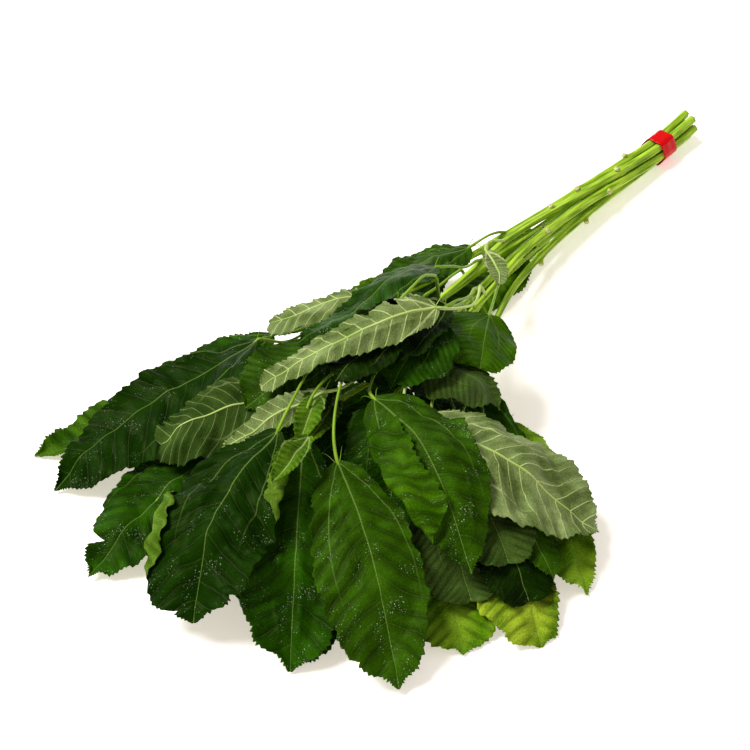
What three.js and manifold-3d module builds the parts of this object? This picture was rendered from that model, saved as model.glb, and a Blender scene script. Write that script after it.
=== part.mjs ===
// A bunch of jute leaves lying on a table: seven cut stems tied near their butts
// with a red tape, and the big toothed leaves that grow from them, laid in a heap.
// Millimetres, +Z up. +X runs along the stems towards the cut ends.
import * as THREE from 'three';
import { mergeVertices } from 'three/addons/utils/BufferGeometryUtils.js';
import Module from 'manifold-3d';

const wasm = await Module();
wasm.setup();

// Driving dimensions

const STEM_RADIUS = 2.5;         // at the tape and the cut ends
const STEM_TIP_RADIUS = 1.5;     // at the growing end
const STEM_SIDES = 8;
const STEM_STEPS = 15;
const STEM_TAPER_FROM = 0.12;    // share of its length that stays at full girth
const STUB_RADIUS = 1.5;         // scar left by a stripped leaf stalk
const STUB_FOOT = 1.8;           // radius where the scar leaves its stem
const STUB_LENGTH = 3.2;         // how far a scar stands out of its stem
const STUB_LEAN = 0.9;           // towards the growing end, for each unit outwards
const STUB_SIDES = 6;
const STRAIGHT = 4;              // straight run of the stems on each side of the tape

const BAND_X = 246.5;             // middle of the tape
const BAND_Y = -2.9;             // axis of the tied bundle
const BAND_WIDTH = 12;
const BAND_THICKNESS = 0.6;
const RING_RADIUS = 5.35;        // six stems round one in the middle
const RING_COUNT = 6;
const CLEARANCE = 0.3;           // between the tape and the stems
const LAP_ANGLE = 48;            // degrees of tape that lie double at its end
const LAP_SINK = 0.2;            // how far the lap runs into the turn below it

const BLADE_THICKNESS = 1.0;
const TOOTH_PLACE = 0.72;        // along the stretch of margin it stands on
const TOOTH_OUT = 2.0;
const TOOTH_FORWARD = 1.4;
const TOOTH_INNER = 0.8;         // v of the point that a tooth stands out from
const TOOTH_AHEAD = 0.05;        // step of u that gives the margin's direction
const SWEEP_BASE = -0.14;        // rows lean back at the base by this much of the width
const SWEEP_TIP = 0.51;          // and lean forward by this much at the tip
const RIPPLES = 3;               // waves along each margin
const RIPPLE_START = { left: 0.1, right: 0.55 };
const RIPPLE_RAMP = 6;           // they reach full height at one part in this of the length
const STALK_HALF_WIDTH = 1.1;
const STALK_HEIGHT = 2.0;
const STALK_EDGE_LOW = 0.4;      // its section is a flattened hexagon, with sides
const STALK_EDGE_HIGH = 1.5;     // from this height to this one
const STALK_RISE = 3;            // how far a stalk arches over its ends
const STALK_LEAD = 0.4;          // share of its length that runs in line with the blade
const STALK_ASIDE = 0.5;         // how far off a stem's crown it starts, in stem radii
const SHAPE_PEAK = 0.85;         // power that sets where a blade is widest
const SHAPE_FULLNESS = 0.75;     // power that rounds its shoulders, less for rounder ones
const POINTING = 0.5;            // how much narrower the drawn-out tip is
const POINTING_POWER = 6;        // how late the drawing-out starts

const LAY_GAP = 0.6;             // air between a blade and what it lies on
const LAY_SLOPE = 0.55;          // steepest that a lifted blade climbs
const LEAST_THICKNESS = 0.65;    // square to a steep blade
const STEEPEST = 0.64;           // least upward part of a face's unit normal
const EASE_STEP = 0.25;          // raises the low corner of a steeper face by this
const EASE_ROUNDS = 400;
const MOST_HEIGHT = 1.7;         // upright thickness where a blade is steepest
const CELL = 1.0;                // pitch of the height map
const SAMPLE_PITCH = 0.6;        // spacing of the points that test a blade
const MAP_MIN = { x: -260, y: -240 };
const MAP_SIZE = { x: 600, y: 420 };

const ROWS = [0, 0.07, 0.15, 0.25, 0.35, 0.46, 0.57, 0.67, 0.77, 0.86, 0.93];
const BLADE_COLUMNS = [-1, -0.5, 0, 0.5, 1];
const STALK_COLUMNS = [-1, 0, 1];
const STALK_STEPS = 3;
const SHOOT_ROWS = [0, 0.18, 0.42, 0.7, 0.9];
const HALVINGS = 24;             // to find where a stem passes a given x
const MERGE = 1e-4;              // corners closer than this are one
const BAND_ARC_STEPS = 3;
const LAP_ARC_STEPS = 5;

// Bundle and stems

// A straight run of the tape faces down, so the first stem stands half a step past it.
const bandAngle = (k) => THREE.MathUtils.degToRad(-90 + (360 / RING_COUNT) * (k + 0.5));
const flatToAxis = RING_RADIUS * Math.cos(Math.PI / RING_COUNT);
const BAND_Z = flatToAxis + STEM_RADIUS + CLEARANCE + BAND_THICKNESS;

const ringSpot = (k) => {
  const angle = bandAngle(k);
  return [BAND_Y + RING_RADIUS * Math.cos(angle), BAND_Z + RING_RADIUS * Math.sin(angle)];
};
const ring = Array.from({ length: RING_COUNT }, (_, k) => ringSpot(k));
const BUNDLE_SPOTS = [[BAND_Y, BAND_Z], ...ring];

// Each stem: its spot in the bundle, where it is cut, how far the cut end spreads,
// its route from the tape to the growing end, and the x of its leaf scars.
const STEMS = [
  { name: 'stem_1', spot: 3, cut: 278, spread: [1, 1], scars: [[221, 60], [176, 100]],
    route: [[160, 3.9, 16], [112, 8, 18], [50, 14, 20], [0, 31, 19]] },
  { name: 'stem_2', spot: 2, cut: 279, spread: [1, 0], scars: [[196, 20]],
    route: [[160, 1.5, 10], [112, 3, 12], [50, 2, 16], [-10, 9, 19], [-56, 24, 20]] },
  { name: 'stem_3', spot: 4, cut: 276, spread: [0, 1], scars: [[206, 80], [150, 60]],
    route: [[165, -1.5, 18], [112, 0, 24], [56, -6, 28], [4, -9, 30], [-50, -1, 31]] },
  { name: 'stem_4', spot: 0, cut: 277, spread: [0, 0], scars: [[140, 60]],
    route: [[160, -3.4, 12], [112, -6, 17], [50, -14, 21], [0, -21, 26], [-52, -18, 30]] },
  { name: 'stem_5', spot: 5, cut: 275, spread: [0, 1], scars: [[190, 150], [132, 120]],
    route: [[165, -7.4, 16], [112, -11, 22], [62, -22, 27], [15, -30, 29], [-36, -38, 30]] },
  { name: 'stem_6', spot: 1, cut: 267, spread: [0, 0], scars: [[186, -40]],
    route: [[165, -2.5, 6], [112, -6, 9], [62, -16, 14], [14, -38, 18], [-30, -60, 20]] },
  { name: 'stem_7', spot: 6, cut: 273, spread: [0, 0], scars: [[168, 190], [120, 200]],
    route: [[165, -8.4, 8], [112, -15, 12], [76, -25, 16], [36, -44, 21], [0, -70, 20]] },
];

// Young leaves at the growing ends, folded up along the midrib
const SHOOT_FORM = { bow: 1.5, arch: 2, tiltL: 0.45, tiltR: 0.45, curl: 0.5, wave: 0.6 };
const SHOOTS = [
  { stem: 'stem_1', base: [4, 29, 20], tip: [-24, 44, 16], half: 7 },
  { stem: 'stem_2', base: [-52, 23, 21], tip: [-82, 26, 17], half: 7 },
  { stem: 'stem_3', base: [-47, -1, 32], tip: [-76, 6, 31], half: 7 },
  { stem: 'stem_4', base: [-48, -18, 31], tip: [-76, -14, 34], half: 7 },
  { stem: 'stem_4', base: [-49, -18, 31], tip: [-82, -30, 33], half: 7 },
  { stem: 'stem_5', base: [-33, -37, 31], tip: [-58, -50, 30], half: 6 },
  { stem: 'stem_6', base: [-27, -58, 21], tip: [-48, -78, 18], half: 7 },
  { stem: 'stem_7', base: [3, -68, 21], tip: [-12, -94, 18], half: 7 },
];

// Leaves in the order in which they lie, lowest first. left and right are the half
// widths seen from above, looking from base to tip. bow bends the midrib to the left,
// arch lifts its middle, tiltL and tiltR are the slopes of the two halves, curl turns
// the margins up, wave is the height of the margin's ripples. from is the stalk's
// start: stem, x, and the side it leaves on. under turns the pale underside up. peak,
// fullness and pointing shape the outline where it isn't the usual one, and lobes leans
// the first rows further back, for a heart-shaped base.
const LOW_LEAVES = [
  { name: 'leaf_centre_under', base: [-7, -27, 14], tip: [-82, -23, 7], left: 24, right: 24,
    bow: 0, arch: 1, tiltL: 0, tiltR: 0, curl: 0, wave: 1, from: ['stem_5', 30, -1] },
  { name: 'leaf_far_left', base: [-67, 37, 10], tip: [-156, 87, 0], left: 9, right: 24,
    bow: 4, arch: 1, tiltL: -0.1, tiltR: -0.1, curl: 2, wave: 1.5, from: ['stem_2', -30, 1] },
  { name: 'leaf_lower_left', base: [-89, 12, 13], tip: [-190, 8, 0], left: 26, right: 21,
    bow: -3, arch: 5, tiltL: -0.1, tiltR: -0.1, curl: 1, wave: 2, from: ['stem_3', -44, -1] },
  { name: 'leaf_front_low', base: [-99, -16, 10], tip: [-156, -46, 0], left: 18, right: 18,
    bow: 2, arch: 2, tiltL: -0.1, tiltR: -0.1, curl: 1, wave: 1.5, from: ['stem_4', -46, -1] },
  { name: 'leaf_front_under', base: [-88, -52, 12], tip: [-161, -98, 0], left: 24, right: 22,
    bow: 0, arch: 3, tiltL: -0.15, tiltR: -0.1, curl: 1, wave: 2, from: ['stem_5', -28, 1] },
  { name: 'leaf_front_right_tip', base: [-61, -86, 10], tip: [-106, -149, 0], left: 26, right: 27,
    bow: 0, arch: 3, tiltL: -0.1, tiltR: -0.1, curl: 1, wave: 1.5, peak: 1, pointing: 0.4,
    from: ['stem_6', -22, 1] },
  { name: 'leaf_right_tip', base: [-34, -109, 9], tip: [-79, -172, 0], left: 15, right: 26,
    bow: 0, arch: 3, tiltL: -0.1, tiltR: -0.1, curl: 1, wave: 1.5, fullness: 0.5, pointing: 0.2,
    from: ['stem_6', -8, -1] },
  { name: 'leaf_right_edge', base: [11, -79, 10], tip: [-42, -170, 0], left: 14, right: 29,
    bow: 2, arch: 8, tiltL: -0.15, tiltR: 0, curl: 1, wave: 1.5, pointing: 0.2,
    from: ['stem_7', 26, -1] },
  { name: 'leaf_under_stems', base: [120, -5, 3], tip: [46, -1, 2], left: 15, right: 15,
    bow: 0, arch: 0, tiltL: 0, tiltR: 0, curl: 0, wave: 0.5, from: ['stem_6', 140, -1] },
  { name: 'leaf_back_low', base: [80, 20, 6], tip: [15, 54, 0], left: 20, right: 11,
    bow: 2, arch: 2, tiltL: -0.1, tiltR: -0.1, curl: 1, wave: 1.5, from: ['stem_1', 104, 1] },
];

const TOP_LEAVES = [
  { name: 'leaf_back_upper', base: [90, 12, 22], tip: [34, 38, 8], left: 18, right: 13,
    bow: 0, arch: 4, tiltL: 0, tiltR: -0.3, curl: 0, wave: 1.5, from: ['stem_1', 112, 1] },
  { name: 'leaf_back_fill', base: [38, -1, 24], tip: [-17, 18, 12], left: 20, right: 20,
    bow: 0, arch: 4, tiltL: 0, tiltR: -0.1, curl: 1, wave: 1.5, from: ['stem_2', 70, -1] },
  { name: 'leaf_left_low', base: [-40, -4, 28], tip: [-104, 8, 10], left: 29, right: 22,
    bow: 0, arch: 4, tiltL: 0, tiltR: 0, curl: 1, wave: 1.5, from: ['stem_3', -8, 1] },
  { name: 'leaf_centre_low', base: [-28, -44, 28], tip: [-86, -84, 6], left: 24, right: 24,
    bow: 0, arch: 4, tiltL: 0, tiltR: 0, curl: 1, wave: 1.5, from: ['stem_5', 0, -1] },
  { name: 'leaf_right_low', base: [-3, -38, 28], tip: [-30, -126, 6], left: 19, right: 26,
    bow: 0, arch: 4, tiltL: 0, tiltR: 0, curl: 1, wave: 1.5, from: ['stem_6', 24, -1] },
  { name: 'leaf_centre_back', base: [15, -21, 32], tip: [-48, -14, 26], left: 21, right: 21,
    bow: 0, arch: 3, tiltL: 0, tiltR: 0, curl: 1, wave: 1.5, from: ['stem_4', 50, -1] },
  { name: 'leaf_left_upper', base: [-33, 40, 26], tip: [-124, 70, 2], left: 24, right: 12,
    bow: -5, arch: 5, tiltL: -0.1, tiltR: -0.3, curl: 1, wave: 1.5, from: ['stem_1', 22, 1] },
  { name: 'leaf_left_main', base: [-51, 32, 30], tip: [-165, 61, 1], left: 32, right: 16,
    bow: -7, arch: 7, tiltL: -0.1, tiltR: 0, curl: 1, wave: 2, pointing: 0.4, from: ['stem_2', 2, 1] },
  { name: 'leaf_left_folded', base: [-63, -5, 32], tip: [-121, 30, 12], left: 20, right: 15,
    bow: 0, arch: 2, tiltL: -0.1, tiltR: 0.1, curl: -1, wave: 1, from: ['stem_3', -20, 1],
    under: true, fullness: 0.3, pointing: 0 },
  { name: 'leaf_left_grey', base: [-34, -10, 36], tip: [-88, 5, 18], left: 17, right: 24,
    bow: 0, arch: 3, tiltL: -0.1, tiltR: -0.1, curl: 1, wave: 1.5, from: ['stem_3', 8, 1] },
  { name: 'leaf_left_narrow', base: [-61, -24, 38], tip: [-111, -1, 22], left: 6, right: 7,
    bow: 2, arch: 1, tiltL: -0.3, tiltR: 0.2, curl: 1, wave: 0.5, from: ['stem_4', -20, 1], under: true },
  { name: 'leaf_front_left_inner', base: [-87, -33, 36], tip: [-165, -98, 1], left: 24, right: 25,
    bow: 0, arch: 10, tiltL: -0.1, tiltR: 0.1, curl: 3, wave: 2.5, peak: 1.25, fullness: 0.6,
    pointing: 0.2, from: ['stem_4', -36, -1] },
  { name: 'leaf_front_left', base: [-94, -24, 38], tip: [-181, -54, 2], left: 28, right: 29,
    bow: -7, arch: 9, tiltL: -0.2, tiltR: 0.05, curl: 2, wave: 1.5, peak: 1.3, fullness: 0.55,
    pointing: 0.2, lobes: -0.3, from: ['stem_3', -36, -1] },
  { name: 'leaf_front_right_inner', base: [-63, -97, 28], tip: [-87, -137, 8], left: 19, right: 19,
    bow: 0, arch: 3, tiltL: -0.1, tiltR: -0.1, curl: 1, wave: 1.5, fullness: 0.45, pointing: 0,
    from: ['stem_6', -16, -1] },
  { name: 'leaf_right_dark', base: [-48, -114, 24], tip: [-69, -156, 6], left: 18, right: 18,
    bow: 0, arch: 3, tiltL: -0.1, tiltR: -0.1, curl: 1, wave: 1.5, fullness: 0.45, pointing: 0,
    from: ['stem_6', -4, 1] },
  { name: 'leaf_right_thin', base: [-39, -119, 26], tip: [-55, -159, 8], left: 10, right: 8,
    bow: 0, arch: 1, tiltL: -0.5, tiltR: 0.2, curl: 1, wave: 0.5, from: ['stem_7', 14, 1] },
  { name: 'leaf_right_grey', base: [-45, -99, 34], tip: [-66, -141, 12], left: 19, right: 18,
    bow: 0, arch: 3, tiltL: -0.1, tiltR: -0.1, curl: 1, wave: 1.5, fullness: 0.45, pointing: 0,
    from: ['stem_7', 8, 1] },
  { name: 'leaf_front_centre', base: [-86, -54, 42], tip: [-141, -141, 1], left: 22, right: 27,
    bow: 2, arch: 11, tiltL: -0.05, tiltR: -0.1, curl: 0, wave: 1.5, peak: 1.15, fullness: 0.6,
    pointing: 0.4, lobes: -0.35, from: ['stem_4', -30, -1] },
  { name: 'leaf_right_under', base: [-43, -68, 44], tip: [-19, -157, 14], left: 29, right: 27,
    bow: -4, arch: 6, tiltL: -0.2, tiltR: 0.05, curl: 0, wave: 1, peak: 1.1, fullness: 0.65,
    from: ['stem_6', 10, 1], under: true },
  { name: 'leaf_front_right', base: [-52, -46, 52], tip: [-84, -134, 18], left: 24, right: 20,
    bow: 4, arch: 8, tiltL: -0.35, tiltR: -0.1, curl: 1, wave: 2, from: ['stem_5', -4, -1] },
  { name: 'leaf_centre_grey', base: [-6, -40, 44], tip: [-3, -84, 29], left: 12, right: 24,
    bow: 0, arch: 2, tiltL: -0.1, tiltR: -0.1, curl: 2, wave: 1, from: ['stem_6', 34, -1] },
  { name: 'leaf_right_stalked', base: [38, -43, 38], tip: [4, -65, 24], left: 16, right: 28,
    bow: 0, arch: 2, tiltL: -0.4, tiltR: 0, curl: 0, wave: 1.5, fullness: 0.5, pointing: 0.3,
    from: ['stem_5', 82, -1] },
  { name: 'leaf_centre_right', base: [5, -36, 38], tip: [-38, -44, 34], left: 21, right: 17,
    bow: 0, arch: 2, tiltL: 0, tiltR: 0.1, curl: 2, wave: 1, from: ['stem_5', 36, -1] },
  { name: 'leaf_centre_dark', base: [15, -34, 42], tip: [-40, -32, 34], left: 15, right: 15,
    bow: 0, arch: 1, tiltL: 0.1, tiltR: 0.1, curl: 3, wave: 1, from: ['stem_5', 44, -1] },
  { name: 'leaf_back_under', base: [33, -16, 30], tip: [-31, 44, 8], left: 21, right: 9,
    bow: -2, arch: 4, tiltL: 0, tiltR: 0, curl: 0, wave: 1, from: ['stem_4', 66, 1],
    under: true, fullness: 0.35, pointing: 0 },
  { name: 'leaf_back_dark', base: [38, -8, 38], tip: [-47, 9, 20], left: 16, right: 14,
    bow: 0, arch: 5, tiltL: 0, tiltR: -0.2, curl: 0, wave: 1, from: ['stem_3', 78, 1] },
  { name: 'leaf_centre_top', base: [-9, -24, 48], tip: [-60, -29, 38], left: 16, right: 16,
    bow: 0, arch: 3, tiltL: -0.2, tiltR: -0.1, curl: 1, wave: 1.5, from: ['stem_4', 26, -1] },
  { name: 'leaf_back_folded', base: [0, -40, 50], tip: [-80, 1, 34], left: 11, right: 10,
    bow: 0, arch: 3, tiltL: -0.4, tiltR: 0, curl: 0, wave: 1, fullness: 0.5, pointing: 0,
    from: ['stem_5', 56, 1], under: true },
  { name: 'leaf_on_stems', base: [82, -5, 34], tip: [60, -31, 30], left: 5, right: 6,
    bow: 3, arch: 2, tiltL: 0.5, tiltR: 0.5, curl: 0, wave: 0.5, from: ['stem_3', 100, -1], under: true },
];

// Colours, one for each look of the real bunch

const LOOKS = {
  stem: { color: 0xa9cf4e, roughness: 0.45 },
  upper: { color: 0x2f5a1c, roughness: 0.5 },
  underside: { color: 0x7f9b63, roughness: 0.7 },
  tape: { color: 0xd8141a, roughness: 0.2 },
};

const materialOf = (look) => new THREE.MeshStandardMaterial({ ...LOOKS[look], metalness: 0 });

// Solids from plain geometry and back

function toSolid(geometry) {
  const bare = geometry.clone();
  bare.deleteAttribute('normal');
  bare.deleteAttribute('uv');
  const merged = mergeVertices(bare, MERGE);
  return new wasm.Manifold(new wasm.Mesh({
    numProp: 3,
    vertProperties: new Float32Array(merged.attributes.position.array),
    triVerts: new Uint32Array(merged.index.array),
  }));
}

function fromSolid(solid) {
  const mesh = solid.getMesh();
  const geometry = new THREE.BufferGeometry();
  geometry.setAttribute('position', new THREE.BufferAttribute(mesh.vertProperties, 3));
  geometry.setIndex(new THREE.BufferAttribute(mesh.triVerts, 1));
  geometry.computeVertexNormals();
  return geometry;
}

const unite = (solids) => solids.reduce((whole, next) => whole.add(next));

// Height map of everything laid so far

const COLUMNS_X = Math.ceil(MAP_SIZE.x / CELL);
const COLUMNS_Y = Math.ceil(MAP_SIZE.y / CELL);
const heights = new Float32Array(COLUMNS_X * COLUMNS_Y).fill(-LAY_GAP);

function cellOf(x, y) {
  const i = Math.floor((x - MAP_MIN.x) / CELL);
  const j = Math.floor((y - MAP_MIN.y) / CELL);
  return [i, j];
}

function supportAt(x, y) {
  const [i, j] = cellOf(x, y);
  let top = -LAY_GAP;
  for (let di = -1; di <= 1; di += 1) {
    for (let dj = -1; dj <= 1; dj += 1) {
      top = Math.max(top, heights[(i + di) + (j + dj) * COLUMNS_X]);
    }
  }
  return top;
}

// Calls visit(x, y, z) at points spread over a triangle, its corners included.
function sampleTriangle(a, b, c, visit) {
  const longest = Math.max(
    Math.hypot(b[0] - a[0], b[1] - a[1]),
    Math.hypot(c[0] - b[0], c[1] - b[1]),
    Math.hypot(a[0] - c[0], a[1] - c[1]),
  );
  const steps = Math.max(1, Math.ceil(longest / SAMPLE_PITCH));
  for (let i = 0; i <= steps; i += 1) {
    for (let j = 0; j <= steps - i; j += 1) {
      const s = i / steps;
      const t = j / steps;
      const r = 1 - s - t;
      visit(...[0, 1, 2].map((k) => r * a[k] + s * b[k] + t * c[k]));
    }
  }
}

function stampTriangle(a, b, c) {
  sampleTriangle(a, b, c, (x, y, z) => {
    const [i, j] = cellOf(x, y);
    const cell = i + j * COLUMNS_X;
    heights[cell] = Math.max(heights[cell], z);
  });
}

function stampGeometry(geometry) {
  const position = geometry.attributes.position;
  const index = geometry.index.array;
  const corner = (k) => [position.getX(k), position.getY(k), position.getZ(k)];
  for (let t = 0; t < index.length; t += 3) {
    stampTriangle(corner(index[t]), corner(index[t + 1]), corner(index[t + 2]));
  }
}

// Blades

// Plan of a blade: a quadratic midrib, an ovate half width, rows swept forward.
function bladePlan(leaf, u, v) {
  const dx = leaf.tip[0] - leaf.base[0];
  const dy = leaf.tip[1] - leaf.base[1];
  const length = Math.hypot(dx, dy);
  const along = [dx / length, dy / length];
  const aside = [-along[1], along[0]];
  const bend = leaf.bow * 4 * u * (1 - u);
  const slope = (leaf.bow * 4 * (1 - 2 * u)) / length;
  const norm = Math.hypot(1, slope);
  const tangent = [(along[0] + aside[0] * slope) / norm, (along[1] + aside[1] * slope) / norm];
  const half = halfWidth(leaf, u, v);
  const lean = THREE.MathUtils.lerp(leaf.lobes ?? SWEEP_BASE, SWEEP_TIP, u);
  const sweep = half * Math.abs(v) * lean;
  const off = half * v;
  return [
    leaf.base[0] + dx * u + aside[0] * bend - tangent[1] * off + tangent[0] * sweep,
    leaf.base[1] + dy * u + aside[1] * bend + tangent[0] * off + tangent[1] * sweep,
  ];
}

function halfWidth(leaf, u, v) {
  const full = v > 0 ? leaf.left : leaf.right;
  const { peak = SHAPE_PEAK, fullness = SHAPE_FULLNESS, pointing = POINTING } = leaf;
  const shape = Math.sin(Math.PI * u ** peak) ** fullness * (1 - pointing * u ** POINTING_POWER);
  return STALK_HALF_WIDTH + (full - STALK_HALF_WIDTH) * shape;
}

// Height of the blade's lower face before it is laid on what is below.
function bladeHeight(leaf, u, v) {
  const middle = leaf.base[2] * (1 - u) + leaf.tip[2] * u + leaf.arch * 4 * u * (1 - u);
  const reach = halfWidth(leaf, u, v) * Math.abs(v);
  const tilt = v > 0 ? leaf.tiltL : leaf.tiltR;
  const phase = RIPPLES * u + (v > 0 ? RIPPLE_START.left : RIPPLE_START.right);
  const ripple = leaf.wave * v * v * Math.sin(2 * Math.PI * phase);
  return middle + tilt * reach + leaf.curl * Math.abs(v) ** 3 + ripple * Math.min(1, RIPPLE_RAMP * u);
}

// A sheet is a list of points with the offsets of their lower and upper face, and
// triangles that run anticlockwise seen from above.
function newSheet() {
  return { points: [], faces: [], teeth: [] };
}

function addPoint(sheet, x, y, z, low = 0, high = BLADE_THICKNESS) {
  sheet.points.push({ x, y, z, low, high });
  return sheet.points.length - 1;
}

// Joins two rows of points that run from the right margin to the left one.
function stitch(sheet, near, far) {
  let i = 0;
  let j = 0;
  while (i < near.length - 1 || j < far.length - 1) {
    const nextNear = i < near.length - 1 ? near[i + 1].v : Infinity;
    const nextFar = j < far.length - 1 ? far[j + 1].v : Infinity;
    if (nextNear < nextFar) {
      sheet.faces.push([near[i].id, far[j].id, near[i + 1].id]);
      i += 1;
    } else {
      sheet.faces.push([near[i].id, far[j].id, far[j + 1].id]);
      j += 1;
    }
  }
}

// A tooth lies in line with the two margin points it stands between.
function addTooth(sheet, leaf, u0, u1, side, near, far) {
  const u = u0 + TOOTH_PLACE * (u1 - u0);
  const edge = bladePlan(leaf, u, side);
  const inner = bladePlan(leaf, u, side * TOOTH_INNER);
  const ahead = bladePlan(leaf, Math.min(1, u + TOOTH_AHEAD), side);
  const out = unit(edge[0] - inner[0], edge[1] - inner[1]);
  const forward = unit(ahead[0] - edge[0], ahead[1] - edge[1]);
  const id = addPoint(
    sheet,
    edge[0] + TOOTH_OUT * out[0] + TOOTH_FORWARD * forward[0],
    edge[1] + TOOTH_OUT * out[1] + TOOTH_FORWARD * forward[1],
    toothHeight(sheet, near, far),
  );
  sheet.faces.push(side > 0 ? [near, far, id] : [near, id, far]);
  sheet.teeth.push({ id, near, far });
}

function toothHeight(sheet, near, far) {
  return THREE.MathUtils.lerp(sheet.points[near].z, sheet.points[far].z, TOOTH_PLACE);
}

function unit(x, y) {
  const length = Math.hypot(x, y) || 1;
  return [x / length, y / length];
}

function addBlade(sheet, leaf, rows, firstRow) {
  let previous = firstRow;
  for (let r = 1; r < rows.length; r += 1) {
    const u = rows[r];
    const row = BLADE_COLUMNS.map((v) => {
      const [x, y] = bladePlan(leaf, u, v);
      return { v, id: addPoint(sheet, x, y, bladeHeight(leaf, u, v)) };
    });
    stitch(sheet, previous, row);
    if (r > 1) {
      for (const side of [-1, 1]) {
        const k = side < 0 ? 0 : previous.length - 1;
        const m = side < 0 ? 0 : row.length - 1;
        addTooth(sheet, leaf, rows[r - 1], u, side, previous[k].id, row[m].id);
      }
    }
    previous = row;
  }
  const [tx, ty] = bladePlan(leaf, 1, 0);
  const tip = addPoint(sheet, tx, ty, bladeHeight(leaf, 1, 0));
  stitch(sheet, previous, [{ v: 0, id: tip }]);
}

// The leaf's stalk, from its stem to the blade's base, as rows of three points.
function addStalk(sheet, leaf, start) {
  const dx = leaf.tip[0] - leaf.base[0];
  const dy = leaf.tip[1] - leaf.base[1];
  const along = unit(dx, dy);
  const reach = Math.hypot(leaf.base[0] - start.x, leaf.base[1] - start.y);
  const curve = new THREE.QuadraticBezierCurve(
    new THREE.Vector2(start.x, start.y),
    new THREE.Vector2(
      leaf.base[0] - along[0] * reach * STALK_LEAD,
      leaf.base[1] - along[1] * reach * STALK_LEAD,
    ),
    new THREE.Vector2(leaf.base[0], leaf.base[1]),
  );
  let previous = null;
  for (let k = 0; k <= STALK_STEPS; k += 1) {
    const s = k / STALK_STEPS;
    const spot = curve.getPoint(s);
    const direction = curve.getTangent(s);
    const z = start.z * (1 - s) + leaf.base[2] * s + start.rise * 4 * s * (1 - s);
    const row = STALK_COLUMNS.map((v) => ({
      v,
      id: addPoint(
        sheet,
        spot.x - direction.y * v * STALK_HALF_WIDTH,
        spot.y + direction.x * v * STALK_HALF_WIDTH,
        z,
        v === 0 ? 0 : STALK_EDGE_LOW,
        v === 0 ? STALK_HEIGHT : STALK_EDGE_HIGH,
      ),
    }));
    if (previous) {
      stitch(sheet, previous, row);
    }
    previous = row;
  }
  return previous;
}

// Lifts the sheet's points until its lower face clears everything laid so far.
function lay(sheet) {
  const need = new Float64Array(sheet.points.length).fill(0);
  for (const face of sheet.faces) {
    const corners = face.map((id) => {
      const p = sheet.points[id];
      return [p.x, p.y, p.z + p.low];
    });
    let lift = 0;
    sampleTriangle(...corners, (x, y, z) => {
      lift = Math.max(lift, supportAt(x, y) + LAY_GAP - z);
    });
    for (const id of face) {
      need[id] = Math.max(need[id], lift);
    }
  }
  for (const { id } of sheet.teeth) {
    need[id] = 0;
  }
  const lifts = sheet.points.map((p) => sheet.points.reduce((most, q, k) => {
    const distance = Math.hypot(p.x - q.x, p.y - q.y);
    return Math.max(most, need[k] - LAY_SLOPE * distance);
  }, 0));
  sheet.points.forEach((p, k) => {
    p.z += lifts[k];
  });
  ease(sheet);
  for (const { id, near, far } of sheet.teeth) {
    sheet.points[id].z = toothHeight(sheet, near, far);
  }
  thicken(sheet);
}

function upwardPart(sheet, face) {
  const [a, b, c] = face.map((id) => {
    const p = sheet.points[id];
    return new THREE.Vector3(p.x, p.y, p.z);
  });
  return new THREE.Vector3().crossVectors(b.sub(a), c.sub(a)).normalize().z;
}

// Raises the lowest corner of each face that is too steep, until none is.
function ease(sheet) {
  const toothed = new Set(sheet.teeth.map(({ id }) => id));
  const plain = sheet.faces.filter((face) => !face.some((id) => toothed.has(id)));
  for (let round = 0; round < EASE_ROUNDS; round += 1) {
    const steep = plain.filter((face) => upwardPart(sheet, face) < STEEPEST);
    if (steep.length === 0) {
      return;
    }
    for (const face of steep) {
      const low = face.reduce((m, id) => (sheet.points[id].z < sheet.points[m].z ? id : m));
      sheet.points[low].z += EASE_STEP;
    }
  }
  throw new Error('a blade stays too steep');
}

// A steep face gets a taller upright thickness, so that it stays as thick across.
function thicken(sheet) {
  for (const face of sheet.faces) {
    const tall = Math.min(MOST_HEIGHT, LEAST_THICKNESS / Math.abs(upwardPart(sheet, face)));
    for (const id of face) {
      const p = sheet.points[id];
      p.high = Math.max(p.high, p.low + tall);
    }
  }
}

function stampSheet(sheet) {
  for (const face of sheet.faces) {
    stampTriangle(...face.map((id) => {
      const p = sheet.points[id];
      return [p.x, p.y, p.z + p.high];
    }));
  }
}

// Upper face, lower face and the walls along every edge that only one triangle has.
function sheetGeometry(sheet) {
  const count = sheet.points.length;
  const position = [];
  for (const p of sheet.points) {
    position.push(p.x, p.y, p.z + p.low);
  }
  for (const p of sheet.points) {
    position.push(p.x, p.y, p.z + p.high);
  }
  const index = [];
  const edges = new Set();
  for (const [a, b, c] of sheet.faces) {
    index.push(a + count, b + count, c + count, a, c, b);
    for (const [from, to] of [[a, b], [b, c], [c, a]]) {
      edges.add(`${from} ${to}`);
    }
  }
  for (const edge of edges) {
    const [from, to] = edge.split(' ').map(Number);
    if (!edges.has(`${to} ${from}`)) {
      index.push(from, to, to + count, from, to + count, from + count);
    }
  }
  const geometry = new THREE.BufferGeometry();
  geometry.setAttribute('position', new THREE.Float32BufferAttribute(position, 3));
  geometry.setIndex(index);
  geometry.computeVertexNormals();
  return geometry;
}

// Stems

function stemCurve(stem) {
  const [y, z] = BUNDLE_SPOTS[stem.spot];
  const halfBand = BAND_WIDTH / 2 + STRAIGHT;
  const [spreadY, spreadZ] = stem.spread;
  const points = [
    [stem.cut, y + spreadY, z + spreadZ],
    [BAND_X + halfBand, y, z],
    [BAND_X - halfBand, y, z],
    ...stem.route,
  ];
  return new THREE.CatmullRomCurve3(points.map((p) => new THREE.Vector3(...p)), false, 'centripetal');
}

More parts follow.
